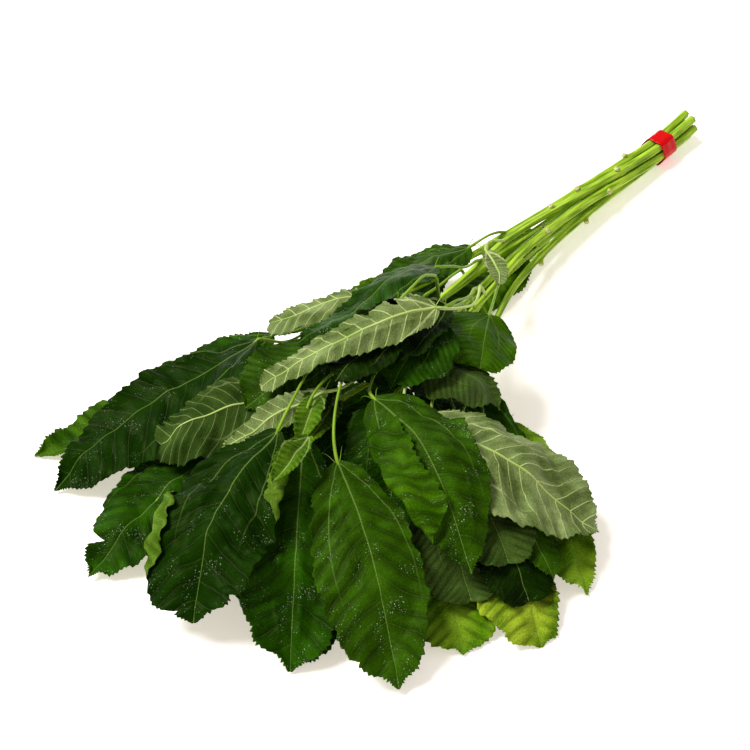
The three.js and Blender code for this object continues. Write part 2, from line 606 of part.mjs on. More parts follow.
function stemRadius(t) {
  const taper = THREE.MathUtils.smoothstep(t, STEM_TAPER_FROM, 1);
  return THREE.MathUtils.lerp(STEM_RADIUS, STEM_TIP_RADIUS, taper);
}

// A closed cylinder carried along the curve, its sections square to the curve.
function stemTube(curve) {
  const geometry = new THREE.CylinderGeometry(1, 1, 1, STEM_SIDES, STEM_STEPS);
  const position = geometry.attributes.position;
  const up = new THREE.Vector3(0, 0, 1);
  for (let k = 0; k < position.count; k += 1) {
    const t = THREE.MathUtils.clamp(position.getY(k) + 0.5, 0, 1);
    const centre = curve.getPointAt(t);
    const tangent = curve.getTangentAt(t);
    const side = new THREE.Vector3().crossVectors(tangent, up).normalize();
    const top = new THREE.Vector3().crossVectors(side, tangent);
    const radius = stemRadius(t);
    centre.addScaledVector(side, radius * position.getX(k));
    centre.addScaledVector(top, radius * position.getZ(k));
    position.setXYZ(k, centre.x, centre.y, centre.z);
  }
  return geometry;
}

// The curve's parameter where the stem passes a given x.
function stemParameter(curve, x) {
  let low = 0;
  let high = 1;
  for (let step = 0; step < HALVINGS; step += 1) {
    const middle = (low + high) / 2;
    if (curve.getPointAt(middle).x > x) {
      low = middle;
    } else {
      high = middle;
    }
  }
  return (low + high) / 2;
}

// Stub of a stripped stalk, leaning towards the growing end.
function scar(curve, x, degrees) {
  const t = stemParameter(curve, x);
  const centre = curve.getPointAt(t);
  const angle = THREE.MathUtils.degToRad(degrees);
  const direction = new THREE.Vector3(-STUB_LEAN, Math.cos(angle), Math.sin(angle)).normalize();
  const length = stemRadius(t) + STUB_LENGTH;
  const geometry = new THREE.CylinderGeometry(STUB_RADIUS, STUB_FOOT, length, STUB_SIDES, 1);
  geometry.translate(0, length / 2, 0);
  geometry.applyQuaternion(new THREE.Quaternion().setFromUnitVectors(
    new THREE.Vector3(0, 1, 0),
    direction,
  ));
  geometry.translate(centre.x, centre.y, centre.z);
  return geometry;
}

function shootGeometry(shoot) {
  const leaf = {
    ...SHOOT_FORM, base: shoot.base, tip: shoot.tip, left: shoot.half, right: shoot.half,
  };
  const sheet = newSheet();
  const root = STALK_COLUMNS.map((v) => {
    const [x, y] = bladePlan(leaf, 0, v);
    return { v, id: addPoint(sheet, x, y, leaf.base[2]) };
  });
  addBlade(sheet, leaf, SHOOT_ROWS, root);
  return sheetGeometry(sheet);
}

function stemGeometry(stem, curve) {
  const solids = [toSolid(stemTube(curve))];
  for (const [x, degrees] of stem.scars) {
    solids.push(toSolid(scar(curve, x, degrees)));
  }
  for (const shoot of SHOOTS.filter((s) => s.stem === stem.name)) {
    solids.push(toSolid(shootGeometry(shoot)));
  }
  return fromSolid(unite(solids));
}

// The tape: it follows the bundle's outline, offset from the ring of stems.

function bundleOutline(offset) {
  const shape = new THREE.Shape();
  const reach = STEM_RADIUS + offset;
  const half = Math.PI / RING_COUNT;
  for (let k = 0; k < RING_COUNT; k += 1) {
    const angle = bandAngle(k);
    shape.absarc(
      RING_RADIUS * Math.cos(angle),
      RING_RADIUS * Math.sin(angle),
      reach,
      angle - half,
      angle + half,
      false,
    );
  }
  shape.closePath();
  return shape;
}

function alongStems(geometry) {
  geometry.rotateX(Math.PI / 2);
  geometry.rotateZ(Math.PI / 2);
  geometry.translate(BAND_X - BAND_WIDTH / 2, BAND_Y, BAND_Z);
  return geometry;
}

function bandGeometry() {
  const outer = bundleOutline(CLEARANCE + BAND_THICKNESS);
  outer.holes.push(new THREE.Path(bundleOutline(CLEARANCE).getPoints(BAND_ARC_STEPS)));
  const across = { depth: BAND_WIDTH, bevelEnabled: false };
  const turn = new THREE.ExtrudeGeometry(outer, { ...across, curveSegments: BAND_ARC_STEPS });
  const lap = new THREE.Shape();
  const from = Math.PI / 2;
  const to = from + THREE.MathUtils.degToRad(LAP_ANGLE);
  const inside = RING_RADIUS + STEM_RADIUS + CLEARANCE + LAP_SINK;
  lap.absarc(0, 0, inside + 2 * BAND_THICKNESS - LAP_SINK, from, to, false);
  lap.absarc(0, 0, inside, to, from, true);
  lap.closePath();
  const end = new THREE.ExtrudeGeometry(lap, { ...across, curveSegments: LAP_ARC_STEPS });
  return fromSolid(unite([turn, end].map(alongStems).map(toSolid)));
}

// Assembly

const bunch = new THREE.Group();
bunch.name = 'bunch_of_jute_leaves';

function addMesh(name, geometry, look) {
  const mesh = new THREE.Mesh(geometry, materialOf(look));
  mesh.name = name;
  bunch.add(mesh);
}

const curves = Object.fromEntries(STEMS.map((stem) => [stem.name, stemCurve(stem)]));

function stalkStart(leaf, below) {
  const [name, x, side] = leaf.from;
  const curve = curves[name];
  const t = stemParameter(curve, x);
  const centre = curve.getPointAt(t);
  const tangent = curve.getTangentAt(t);
  const radius = stemRadius(t);
  const offset = below ? 0 : side * radius * STALK_ASIDE;
  const [sx, sy] = unit(tangent.y, -tangent.x);
  const lift = below ? -radius - STALK_HEIGHT - LAY_GAP : radius;
  const rise = below ? 0 : STALK_RISE;
  return { x: centre.x + sx * offset, y: centre.y + sy * offset, z: centre.z + lift, rise };
}

function layLeaf(leaf, below) {
  const sheet = newSheet();
  const firstRow = addStalk(sheet, leaf, stalkStart(leaf, below));
  addBlade(sheet, leaf, ROWS, firstRow);
  lay(sheet);
  stampSheet(sheet);
  addMesh(leaf.name, sheetGeometry(sheet), leaf.under ? 'underside' : 'upper');
}

for (const leaf of LOW_LEAVES) {
  layLeaf(leaf, true);
}
for (const stem of STEMS) {
  const geometry = stemGeometry(stem, curves[stem.name]);
  stampGeometry(geometry);
  addMesh(stem.name, geometry, 'stem');
}
for (const leaf of TOP_LEAVES) {
  layLeaf(leaf, false);
}
addMesh('band', bandGeometry(), 'tape');

// The origin goes under the middle of the bunch, on the surface it lies on.
const box = new THREE.Box3().setFromObject(bunch);
const middle = box.getCenter(new THREE.Vector3());
bunch.position.set(-middle.x, -middle.y, -box.min.z);
bunch.updateMatrixWorld(true);

export default bunch;
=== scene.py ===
import math
from functools import partial
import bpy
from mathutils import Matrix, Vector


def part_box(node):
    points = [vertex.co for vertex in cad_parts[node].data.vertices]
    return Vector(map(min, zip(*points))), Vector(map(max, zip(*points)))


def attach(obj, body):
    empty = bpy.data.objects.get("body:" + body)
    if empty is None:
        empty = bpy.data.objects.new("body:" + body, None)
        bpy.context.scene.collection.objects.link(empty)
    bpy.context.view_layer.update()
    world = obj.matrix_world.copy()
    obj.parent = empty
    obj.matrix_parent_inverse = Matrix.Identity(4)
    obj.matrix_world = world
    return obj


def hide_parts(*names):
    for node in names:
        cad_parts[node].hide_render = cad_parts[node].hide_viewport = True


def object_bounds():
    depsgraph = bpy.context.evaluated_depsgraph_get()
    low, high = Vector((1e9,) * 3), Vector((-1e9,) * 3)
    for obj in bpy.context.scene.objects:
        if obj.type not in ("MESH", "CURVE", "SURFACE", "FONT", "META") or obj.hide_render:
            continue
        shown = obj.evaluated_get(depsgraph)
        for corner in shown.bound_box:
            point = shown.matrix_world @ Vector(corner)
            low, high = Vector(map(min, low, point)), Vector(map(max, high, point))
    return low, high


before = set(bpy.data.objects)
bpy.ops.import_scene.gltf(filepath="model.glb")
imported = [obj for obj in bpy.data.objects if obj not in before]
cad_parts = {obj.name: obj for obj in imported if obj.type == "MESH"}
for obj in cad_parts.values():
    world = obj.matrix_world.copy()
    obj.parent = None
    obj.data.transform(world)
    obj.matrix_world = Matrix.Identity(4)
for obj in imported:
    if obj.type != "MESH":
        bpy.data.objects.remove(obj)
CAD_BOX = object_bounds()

from types import SimpleNamespace

import bpy
import numpy as np
from mathutils import Vector

bl_info = {
    "name": "Bunch of Jute Leaves",
    "version": (1, 0, 0),
    "blender": (4, 5, 0),
    "location": "View3D > Sidebar > Jute",
    "description": "Dresses the solids of a tied bunch of jute leaves as leaves, stems and tape",
    "category": "Object",
}

# Sizes of the bunch, in millimetres, in its own layout: +X runs along the stems to the
# cut ends. They are the sizes that the solids are built from.

MM = 0.001
TAPE_X = 246.5
TAPE_Y = -2.9
TAPE_WIDTH = 12.0
STRAIGHT = 4.0                   # straight run of the stems on each side of the tape
STEM_RADIUS = 2.5
STEM_TIP_RADIUS = 1.5
TAPER_FROM = 0.12
RING_RADIUS = 5.35
RING_COUNT = 6
TAPE_CLEARANCE = 0.9             # outer face of the tape's first turn, off the stems
LAP_ANGLE = 48.0

ROWS = np.array([0, 0.07, 0.15, 0.25, 0.35, 0.46, 0.57, 0.67, 0.77, 0.86, 0.93, 1.0])
COLUMNS = np.array([-1, -0.5, 0, 0.5, 1.0])
STALK_PARTS = np.array([0, 1, 2, 3]) / 3
STALK_HALF_WIDTH = 1.1
STALK_LEAD = 0.4
STALK_ASIDE = 0.5
SWEEP_BASE = -0.14
SWEEP_TIP = 0.51
POINTING_POWER = 6
MATCH = 0.8                      # how far a solid's corner may lie from its place in plan

# The finer surface

TOOTH_ROWS = 4                   # rows of the blade's grid in one tooth
TEETH = 44                       # the most on one side
TOOTH_STEP = 2.2                 # millimetres of the length for each tooth
TEETH_HIDDEN = 20                # the fewest, and those of a hidden blade
HALF_COLUMNS = np.array([0.035, 0.09, 0.16, 0.24, 0.32, 0.4, 0.48, 0.56, 0.64, 0.72, 0.8,
                         0.87, 0.93, 0.97, 1])
HALF_COLUMNS_FOLDED = np.concatenate([[0.035, 0.09, 0.16], np.linspace(0.22, 1, 30)])
HALF_COLUMNS_HIDDEN = np.array([0.08, 0.22, 0.4, 0.6, 0.8, 0.93, 1])
ROW_CROWDING = 0.6               # how much closer the rows stand at the base and the tip
TIP_HALF = 0.12                  # half width that is left at the very tip
SIDE_VEINS = 12                  # pairs of side veins along a blade
VEIN_LEAN = 0.62                 # how far a side vein runs forward for each unit outwards
VEIN_CURVE = 0.006
LATERAL_RISE = 0.62              # the two big veins that leave the base beside the midrib
LATERAL_TURN = 1.15
LEAST_HEIGHT = 0.05              # nothing goes lower than this over the table
TIP_DRAWN = 0.5                  # share by which a pointed blade's tip is narrower
PLEAT = 2 * math.pi / 17         # a pleat between side veins every 17 mm
PLEAT_SHARE = 0.3                # their height as a share of the bulges
FLAP_RISE = 0.12                 # slope of a folded margin over its blade
RIDGE_WIDTH = 1.6
MARGIN_WANDER = 0.035            # share by which the half width drifts
ROUND_LENGTH = 90.0              # millimetres, that scale the drift along a blade
FULL_SPAN = 60.0                 # a blade shorter than this has smaller teeth and relief
TIP_FROM = 0.9                   # share of the length where the tip's narrowing starts
TIP_TO = 0.985
TOOTH_SIZES = (0.35, 1.35)       # a tooth's height as a share of the setting
TOOTH_FROM = 0.93                # share of the half width where a tooth's slope starts
FOLD_END = 0.12                  # share of the length over which a fold narrows again
RIDGE_END = 0.1                  # share of the length over which a ridge rises and ends
RIDGE_SWAY = 1.5                 # millimetres that a ridge winds to each side
BULGES = (16, 42)                # lengths of the soft bulges
RELIEF_FROM, RELIEF_TO = 0.15, 0.45  # share of the length over which bulges set in
GROOVE = 1.3                     # half width of the groove on the midrib

# Stems, stalks and midribs

STEM_SIDES = 28
STEM_ROWS = 241
CUT_RINGS = np.array([0.35, 0.8, 0.97])
SCAR_SWELLING = 3.0              # half length of the swelling at a scar
STUB_RADIUS = 1.5
STUB_FOOT = 1.8
STUB_LENGTH = 3.2
STUB_LEAN = 0.9
STALK_ROOT = 6.0                 # how far back inside the stem a stalk starts
RIB_RAISED = 0.15                # how far a midrib's axis stands over a blade turned over
RIB_SUNK = 0.25                  # how far a midrib's top lies under its blade's middle
RIB_ROWS = 60

# Camera and light

CAMERA_ELEVATION = 45.0
CAMERA_AZIMUTH = -48.0
CAMERA_DISTANCE = 0.92
CAMERA_LENS = 85.0
SENSOR = 36.0
KEY_ANGLE = 26.0                 # degrees that the key light spans
KEY_FROM = (0.15, -0.65, 1.0)    # its direction: away from the camera, to its right, up


def stem(number, spot, cut, spread, scars, route):
    return SimpleNamespace(name=f"stem_{number}", number=number, spot=spot, cut=cut,
                           spread=spread, scars=scars, route=route)


# Each stem: its number, its spot in the bundle, where it is cut, how far the cut end
# spreads, the x and the angle of its leaf scars, and its route from the tape to the growing
# end.
STEMS = [
    stem(1, 3, 278, (1, 1), [(221, 60), (176, 100)],
         [(160, 3.9, 16), (112, 8, 18), (50, 14, 20), (0, 31, 19)]),
    stem(2, 2, 279, (1, 0), [(196, 20)],
         [(160, 1.5, 10), (112, 3, 12), (50, 2, 16), (-10, 9, 19), (-56, 24, 20)]),
    stem(3, 4, 276, (0, 1), [(206, 80), (150, 60)],
         [(165, -1.5, 18), (112, 0, 24), (56, -6, 28), (4, -9, 30), (-50, -1, 31)]),
    stem(4, 0, 277, (0, 0), [(140, 60)],
         [(160, -3.4, 12), (112, -6, 17), (50, -14, 21), (0, -21, 26), (-52, -18, 30)]),
    stem(5, 5, 275, (0, 1), [(190, 150), (132, 120)],
         [(165, -7.4, 16), (112, -11, 22), (62, -22, 27), (15, -30, 29), (-36, -38, 30)]),
    stem(6, 1, 267, (0, 0), [(186, -40)],
         [(165, -2.5, 6), (112, -6, 9), (62, -16, 14), (14, -38, 18), (-30, -60, 20)]),
    stem(7, 6, 273, (0, 0), [(168, 190), (120, 200)],
         [(165, -8.4, 8), (112, -15, 12), (76, -25, 16), (36, -44, 21), (0, -70, 20)]),
]

# Young leaves at the growing ends: stem, base, tip, half width
SHOOTS = [
    (1, (4, 29, 20), (-24, 44, 16), 7),
    (2, (-52, 23, 21), (-82, 26, 17), 7),
    (3, (-47, -1, 32), (-76, 6, 31), 7),
    (4, (-48, -18, 31), (-76, -14, 34), 7),
    (4, (-49, -18, 31), (-82, -30, 33), 7),
    (5, (-33, -37, 31), (-58, -50, 30), 6),
    (6, (-27, -58, 21), (-48, -78, 18), 7),
    (7, (3, -68, 21), (-12, -94, 18), 7),
]

# Small crinkled leaves between the big ones, on top: stem, base, tip, half width
CRINKLED = [
    (4, (-63, -19, 47), (-95, -38, 50), 6),
    (4, (-90, -40, 53), (-121, -46, 49), 5.5),
    (6, (143, 6, 3), (94, 2, 1), 9),
]


def leaf(name, base, tip, left, right, bow, stalk, look, **more):
    """One grown leaf: base and tip in plan, half widths, bow of the midrib, and its stalk's
    stem, x on the stem and side of it."""
    usual = {"under": False, "hidden": False, "low": False, "peak": 0.85, "fullness": 0.75,
             "pointing": 0.5, "lobes": SWEEP_BASE, "crumple": 1.0, "folds": (), "ridges": (),
             "notches": (), "turned": "turned"}
    return SimpleNamespace(name=f"leaf_{name}", base=base, tip=tip, left=left, right=right,
                           bow=bow, stalk=stalk, look=look, **{**usual, **more})


# under: the underside is up. hidden: only its edge can be seen, so its grid is coarser.
# low: the stalk leaves from the stem's middle. peak, fullness, pointing and lobes shape the
# outline. crumple is the height of the soft bulges. folds: side (1 is left), first and last
# share of the length, width and radius of the margin that is folded up and over at the
# outline, so that its other face shows, and the share over which it widens. ridges: side,
# place across as a share of the half width, first and last share of the length, and height.
# notches: side, share of the length, depth as a share of the half width, and width as a
# share of the length. turned: the look of a folded margin's other face.
LEAVES = [
    leaf("centre_under", (-7, -27), (-82, -23), 24, 24, 0, (5, 30, -1), "dark",
         low=True, hidden=True),
    leaf("far_left", (-67, 37), (-156, 87), 9, 24, 4, (2, -30, 1), "fresh", low=True),
    leaf("lower_left", (-89, 12), (-190, 8), 26, 21, -3, (3, -44, -1), "dark", low=True,
         crumple=2.2, notches=((-1, 0.8, 0.6, 0.025), (1, 0.55, 0.25, 0.02))),
    leaf("front_low", (-99, -16), (-156, -46), 18, 18, 2, (4, -46, -1), "dark", low=True),
    leaf("front_under", (-88, -52), (-161, -98), 24, 22, 0, (5, -28, 1), "dark", low=True),
    leaf("front_right_tip", (-61, -86), (-106, -149), 26, 27, 0, (6, -22, 1), "sunny",
         low=True, peak=1.0, pointing=0.4),
    leaf("right_tip", (-34, -109), (-79, -172), 15, 26, 0, (6, -8, -1), "lime", low=True,
         fullness=0.5, pointing=0.2),
    leaf("right_edge", (11, -79), (-42, -170), 14, 29, 2, (7, 26, -1), "sunny", low=True,
         pointing=0.2),
    leaf("under_stems", (120, -5), (46, -1), 15, 15, 0, (6, 140, -1), "bright", low=True),
    leaf("back_low", (80, 20), (15, 54), 20, 11, 2, (1, 104, 1), "bright", low=True),
    leaf("back_upper", (90, 12), (34, 38), 18, 13, 0, (1, 112, 1), "mid", crumple=1.2),
    leaf("back_fill", (38, -1), (-17, 18), 20, 20, 0, (2, 70, -1), "dark", hidden=True),
    leaf("left_low", (-40, -4), (-104, 8), 29, 22, 0, (3, -8, 1), "dark", hidden=True),
    leaf("centre_low", (-28, -44), (-86, -84), 24, 24, 0, (5, 0, -1), "dark", hidden=True),
    leaf("right_low", (-3, -38), (-30, -126), 19, 26, 0, (6, 24, -1), "dark", hidden=True),
    leaf("centre_back", (15, -21), (-48, -14), 21, 21, 0, (4, 50, -1), "dark", hidden=True),
    leaf("left_upper", (-33, 40), (-124, 70), 24, 12, -5, (1, 22, 1), "dark"),
    leaf("left_main", (-51, 32), (-165, 61), 32, 16, -7, (2, 2, 1), "deep", pointing=0.4,
         crumple=2.0),
    leaf("left_folded", (-63, -5), (-121, 30), 20, 15, 0, (3, -20, 1), "dusk",
         under=True, fullness=0.3, pointing=0, crumple=2.0),
    leaf("left_grey", (-34, -10), (-88, 5), 17, 24, 0, (3, 8, 1), "mid"),
    leaf("left_narrow", (-61, -24), (-111, -1), 6, 7, 2, (4, -20, 1), "pale", under=True),
    leaf("front_left_inner", (-87, -33), (-165, -98), 24, 25, 0, (4, -36, -1), "dark",
         peak=1.25, fullness=0.6, pointing=0.2, crumple=1.4,
         ridges=((1, 0.12, 0.2, 0.95, 1.6), (-1, 0.3, 0.3, 0.9, 1.0))),
    leaf("front_left", (-94, -24), (-181, -54), 28, 29, -7, (3, -36, -1), "deep",
         peak=1.3, fullness=0.55, pointing=0.2, lobes=-0.3, crumple=2.4,
         folds=((-1, 0.42, 0.8, 9, 1.1, 0.12), (1, 0.04, 0.5, 10, 1.1, 0.12)),
         ridges=((-1, 0.35, 0.15, 0.8, 0.9),),
         notches=((-1, 0.93, 0.3, 0.012), (1, 0.86, 0.2, 0.012))),
    leaf("front_right_inner", (-63, -97), (-87, -137), 19, 19, 0, (6, -16, -1), "grey",
         fullness=0.45, pointing=0),
    leaf("right_dark", (-48, -114), (-69, -156), 18, 18, 0, (6, -4, 1), "shaded",
         fullness=0.45, pointing=0),
    leaf("right_thin", (-39, -119), (-55, -159), 10, 8, 0, (7, 14, 1), "mid"),
    leaf("right_grey", (-45, -99), (-66, -141), 19, 18, 0, (7, 8, 1), "grey",
         fullness=0.45, pointing=0),
    leaf("front_centre", (-86, -54), (-141, -141), 22, 27, 2, (4, -30, -1), "mid",
         peak=1.15, fullness=0.6, pointing=0.4, lobes=-0.35, crumple=2.0,
         ridges=((-1, 0.4, 0.1, 0.6, 0.6),), notches=((-1, 0.84, 0.1, 0.012),)),
    leaf("right_under", (-43, -68), (-19, -157), 29, 27, -4, (6, 10, 1), "pale",
         under=True, peak=1.1, fullness=0.65, crumple=2.4,
         ridges=((-1, 0.35, 0.05, 0.85, 1.8), (-1, 0.7, 0.2, 0.9, 1.2), (1, 0.45, 0.15, 0.8, 1.5))),
    leaf("front_right", (-52, -46), (-84, -134), 24, 20, 4, (5, -4, -1), "mid", crumple=2.0,
         ridges=((1, 0.5, 0.3, 0.9, 1.4),), folds=((-1, 0.2, 0.82, 20, 1.8, 0.03),),
         turned="fresh"),
    leaf("centre_grey", (-6, -40), (-3, -84), 12, 24, 0, (6, 34, -1), "grey", crumple=1.6),
    leaf("right_stalked", (38, -43), (4, -65), 16, 28, 0, (5, 82, -1), "fresh",
         fullness=0.5, pointing=0.3),
    leaf("centre_right", (5, -36), (-38, -44), 21, 17, 0, (5, 36, -1), "dark"),
    leaf("centre_dark", (15, -34), (-40, -32), 15, 15, 0, (5, 44, -1), "shaded"),
    leaf("back_under", (33, -16), (-31, 44), 21, 9, -2, (4, 66, 1), "pale",
         under=True, fullness=0.35, pointing=0, crumple=2.0),
    leaf("back_dark", (38, -8), (-47, 9), 16, 14, 0, (3, 78, 1), "dark",
         notches=((-1, 0.75, 0.3, 0.2),)),
    leaf("centre_top", (-9, -24), (-60, -29), 16, 16, 0, (4, 26, -1), "shaded"),
    leaf("back_folded", (0, -40), (-80, 1), 11, 10, 0, (5, 56, 1), "pale", under=True,
         fullness=0.5, pointing=0, crumple=2.2,
         ridges=((1, 0.45, 0.05, 0.7, 1.6), (-1, 0.5, 0.3, 0.95, 1.6))),
    leaf("on_stems", (82, -5), (60, -31), 5, 6, 3, (3, 100, -1), "pale", under=True),
]

# Looks of a blade: label, darkest and lightest colour, and how much dew lies on it, whose
# specks are painted highlights. shaded and dusk are darker copies of a blade that carry
# painted shade, sunny is a lighter copy that carries painted light, and lime is partly the
# blade's own yellow-green and partly painted light shining through the thin blade.
LOOKS = {
    "shaded": ("Leaf deep in the heap", "#061000", "#132f00", 0.3),
    "deep": ("Deep green leaf", "#0c2600", "#132f00", 0.6),
    "dark": ("Dark leaf", "#132f00", "#264f02", 0.8),
    "mid": ("Grown leaf", "#1f3900", "#335806", 0.9),
    "fresh": ("Fresh leaf", "#254800", "#426a06", 0.6),
    "bright": ("Bright leaf", "#335400", "#55800e", 0.3),
    "sunny": ("Sunny leaf", "#4d7804", "#86aa24", 0.2),
    "lime": ("Yellow-green leaf", "#456806", "#9ab02a", 0.1),
    # grey is a grey-green copy of a blade, its grey partly the leaf's own bloom and partly a
    # painted sheen
    "grey": ("Dusty leaf", "#2f4214", "#4a6226", 0.3),
    "pale": ("Underside", "#576a30", "#84945a", 0.0),
    "dusk": ("Shaded underside", "#243a0c", "#3b521c", 0.0),
    "turned": ("Turned margin", "#3a5a08", "#5f7e22", 0.0),
}
UNDERSIDES = ("pale", "dusk", "turned")


# Small formulas

def linear(hex_code):
    """An sRGB hex colour as linear red, green and blue."""
    values = [int(hex_code[k:k + 2], 16) / 255 for k in (1, 3, 5)]
    return tuple(c / 12.92 if c <= 0.04045 else ((c + 0.055) / 1.055) ** 2.4 for c in values)


def smooth(x, low, high):
    """0 below low, 1 above high, and 3t^2 - 2t^3 between them."""
    t = np.clip((x - low) / (high - low), 0, 1)
    return t * t * (3 - 2 * t)


def unit(vectors):
    """Each vector divided by its length."""
    return vectors / np.maximum(np.linalg.norm(vectors, axis=-1, keepdims=True), 1e-9)


def through(knots, values, at):
    """A cubic through values at the knots, read at each of at: on each stretch it is the
    Hermite cubic of the two values and of their slopes by central differences."""
    slopes = np.gradient(values, knots, axis=-1)
    i = np.clip(np.searchsorted(knots, at, side="right") - 1, 0, len(knots) - 2)
    step = knots[i + 1] - knots[i]
    t = (at - knots[i]) / step

    def pick(table, k):
        wide = np.broadcast_to(table, at.shape + (len(knots),))
        return np.take_along_axis(wide, k[..., None], -1)[..., 0]

    rise = (3 - 2 * t) * t * t
    return ((1 - rise) * pick(values, i) + rise * pick(values, i + 1)
            + step * t * (1 - t) * ((1 - t) * pick(slopes, i) - t * pick(slopes, i + 1)))


def ripples(x, y, rng, shortest, longest, count=7):
    """A soft random relief of about one unit: a sum of sine waves in random directions,
    with random phases and with lengths between shortest and longest."""
    total = np.zeros(np.broadcast(x, y).shape)
    for _ in range(count):
        angle, phase = rng.uniform(0, 2 * np.pi, 2)
        number = 2 * np.pi / rng.uniform(shortest, longest)
        total += np.sin(number * (x * np.cos(angle) + y * np.sin(angle)) + phase)
    return total / math.sqrt(count / 2)


# Plan and heights of a blade

def half_width(leaf_, u, side):
    """Half width at share u of the length: sin(pi u^peak) to the power fullness, drawn out
    at the tip by the share pointing of u^6."""
    full = np.where(side > 0, leaf_.left, leaf_.right)
    wave = np.clip(np.sin(np.pi * u ** leaf_.peak), 0, 1) ** leaf_.fullness
    drawn = 1 - leaf_.pointing * u ** POINTING_POWER
    return STALK_HALF_WIDTH + (full - STALK_HALF_WIDTH) * wave * drawn


def blade_plan(leaf_, u, side, across):
    """Plan point at share u and at a distance across from the midrib: the midrib is a
    parabola from base to tip, and rows lean back at the base and forward at the tip."""
    base, tip = np.array(leaf_.base[:2], float), np.array(leaf_.tip[:2], float)
    length = np.linalg.norm(tip - base)
    along = (tip - base) / length
    aside = np.array([-along[1], along[0]])
    bend = leaf_.bow * 4 * u * (1 - u)
    slope = leaf_.bow * 4 * (1 - 2 * u) / length
    tangent = unit(along + aside * slope[..., None])
    normal = np.stack([-tangent[..., 1], tangent[..., 0]], -1)
    sweep = across * (leaf_.lobes + (SWEEP_TIP - leaf_.lobes) * u)
    spot = base + along * (length * u)[..., None] + aside * bend[..., None]
    spot = spot + normal * (across * side)[..., None] + tangent * sweep[..., None]
    return spot, length * u + sweep


def corners(node):
    """The solid's corners in the layout, in millimetres."""
    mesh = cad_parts[node].data
    points = np.empty(len(mesh.vertices) * 3, np.float32)
    mesh.vertices.foreach_get("co", points)
    return points.reshape(-1, 3).astype(float) / MM - ORIGIN


def heights_at(points, plan):
    """Mean of the lowest and the highest corner that the solid has at each plan point."""
    away = np.linalg.norm(points[None, :, :2] - plan[:, None], axis=-1)
    nearest = away.min(1)
    if nearest.max() > MATCH:
        raise RuntimeError(f"a solid has no corner within {MATCH} mm: {nearest.max():.2f}")
    there = away < nearest[:, None] + 0.02
    high = np.where(there, points[None, :, 2], -np.inf).max(1)
    low = np.where(there, points[None, :, 2], np.inf).min(1)
    return (high + low) / 2


def blade_heights(leaf_, points):
    """Middle height of the blade on the grid of ROWS and COLUMNS, read from its solid."""
    u, v = np.meshgrid(ROWS[:-1], COLUMNS, indexing="ij")
    v[0, [1, 3]] = 0
    side = np.where(v < 0, -1.0, 1.0)
    plan, _ = blade_plan(leaf_, u, side, half_width(leaf_, u, side) * np.abs(v))
    grid = heights_at(points, plan.reshape(-1, 2)).reshape(u.shape)
    grid[0, [1, 3]] = (grid[0, [0, 4]] + grid[0, 2]) / 2
    tip = heights_at(points, np.array([leaf_.tip[:2]], float))
    return np.vstack([grid, np.full(len(COLUMNS), tip)])


def shoot_heights(leaf_):
    """Middle height of a young leaf: a straight line with an arch, its halves turned up."""
    u, v = np.meshgrid(ROWS, COLUMNS, indexing="ij")
    middle = leaf_.base[2] * (1 - u) + leaf_.tip[2] * u + 8 * u * (1 - u)
    half = half_width(leaf_, u, np.sign(v)) * np.abs(v)
    return middle + 0.45 * half + 0.5 * np.abs(v) ** 3 + 0.5


# Surfaces as parts: points, quads, triangles and the material of each

def part(points, quads, triangles, looks, place, field=None):
    """place and field are the two sets of three numbers that materials read at each point."""
    field = np.zeros_like(points) if field is None else field
    return SimpleNamespace(points=points, quads=quads, triangles=triangles, looks=looks,
                           place=place, field=field)


def grid_quads(rows, columns, wrap=False):
    """Quads of a grid of points, wound so that first axis x second axis points outwards."""
    index = np.arange(rows * columns).reshape(rows, columns)
    if wrap:
        index = np.hstack([index, index[:, :1]])
    a, b = index[:-1, :-1], index[1:, :-1]
    c, d = index[1:, 1:], index[:-1, 1:]
    return np.stack([a, b, c, d], -1).reshape(-1, 4)


def shell(surface, thickness, place, field, looks):
    """A closed thin shell: the surface moved half the thickness to each side along its
    normals, and a rim of quads round its edge. looks are its upper and lower material."""
    rows, columns = surface.shape[:2]
    normal = unit(np.cross(np.gradient(surface, axis=0), np.gradient(surface, axis=1)))
    half = thickness / 2 * normal
    points = np.concatenate([(surface + half).reshape(-1, 3), (surface - half).reshape(-1, 3)])
    count = rows * columns
    top = grid_quads(rows, columns)
    bottom = top[:, ::-1] + count
    index = np.arange(count).reshape(rows, columns)
    loop = np.concatenate([index[:-1, 0], index[-1, :-1], index[:0:-1, -1], index[0, :0:-1]])
    ahead = np.roll(loop, -1)
    rim = np.stack([loop, loop + count, ahead + count, ahead], -1)
    quads = np.concatenate([top, bottom, rim])
    which = np.concatenate([np.full(len(top), looks[0]), np.full(len(bottom), looks[1]),
                            np.full(len(rim), looks[0])])
    twice = [np.concatenate([x.reshape(-1, 3)] * 2) for x in (place, field)]
    return part(points, quads, np.empty((0, 3), int), which, *twice)


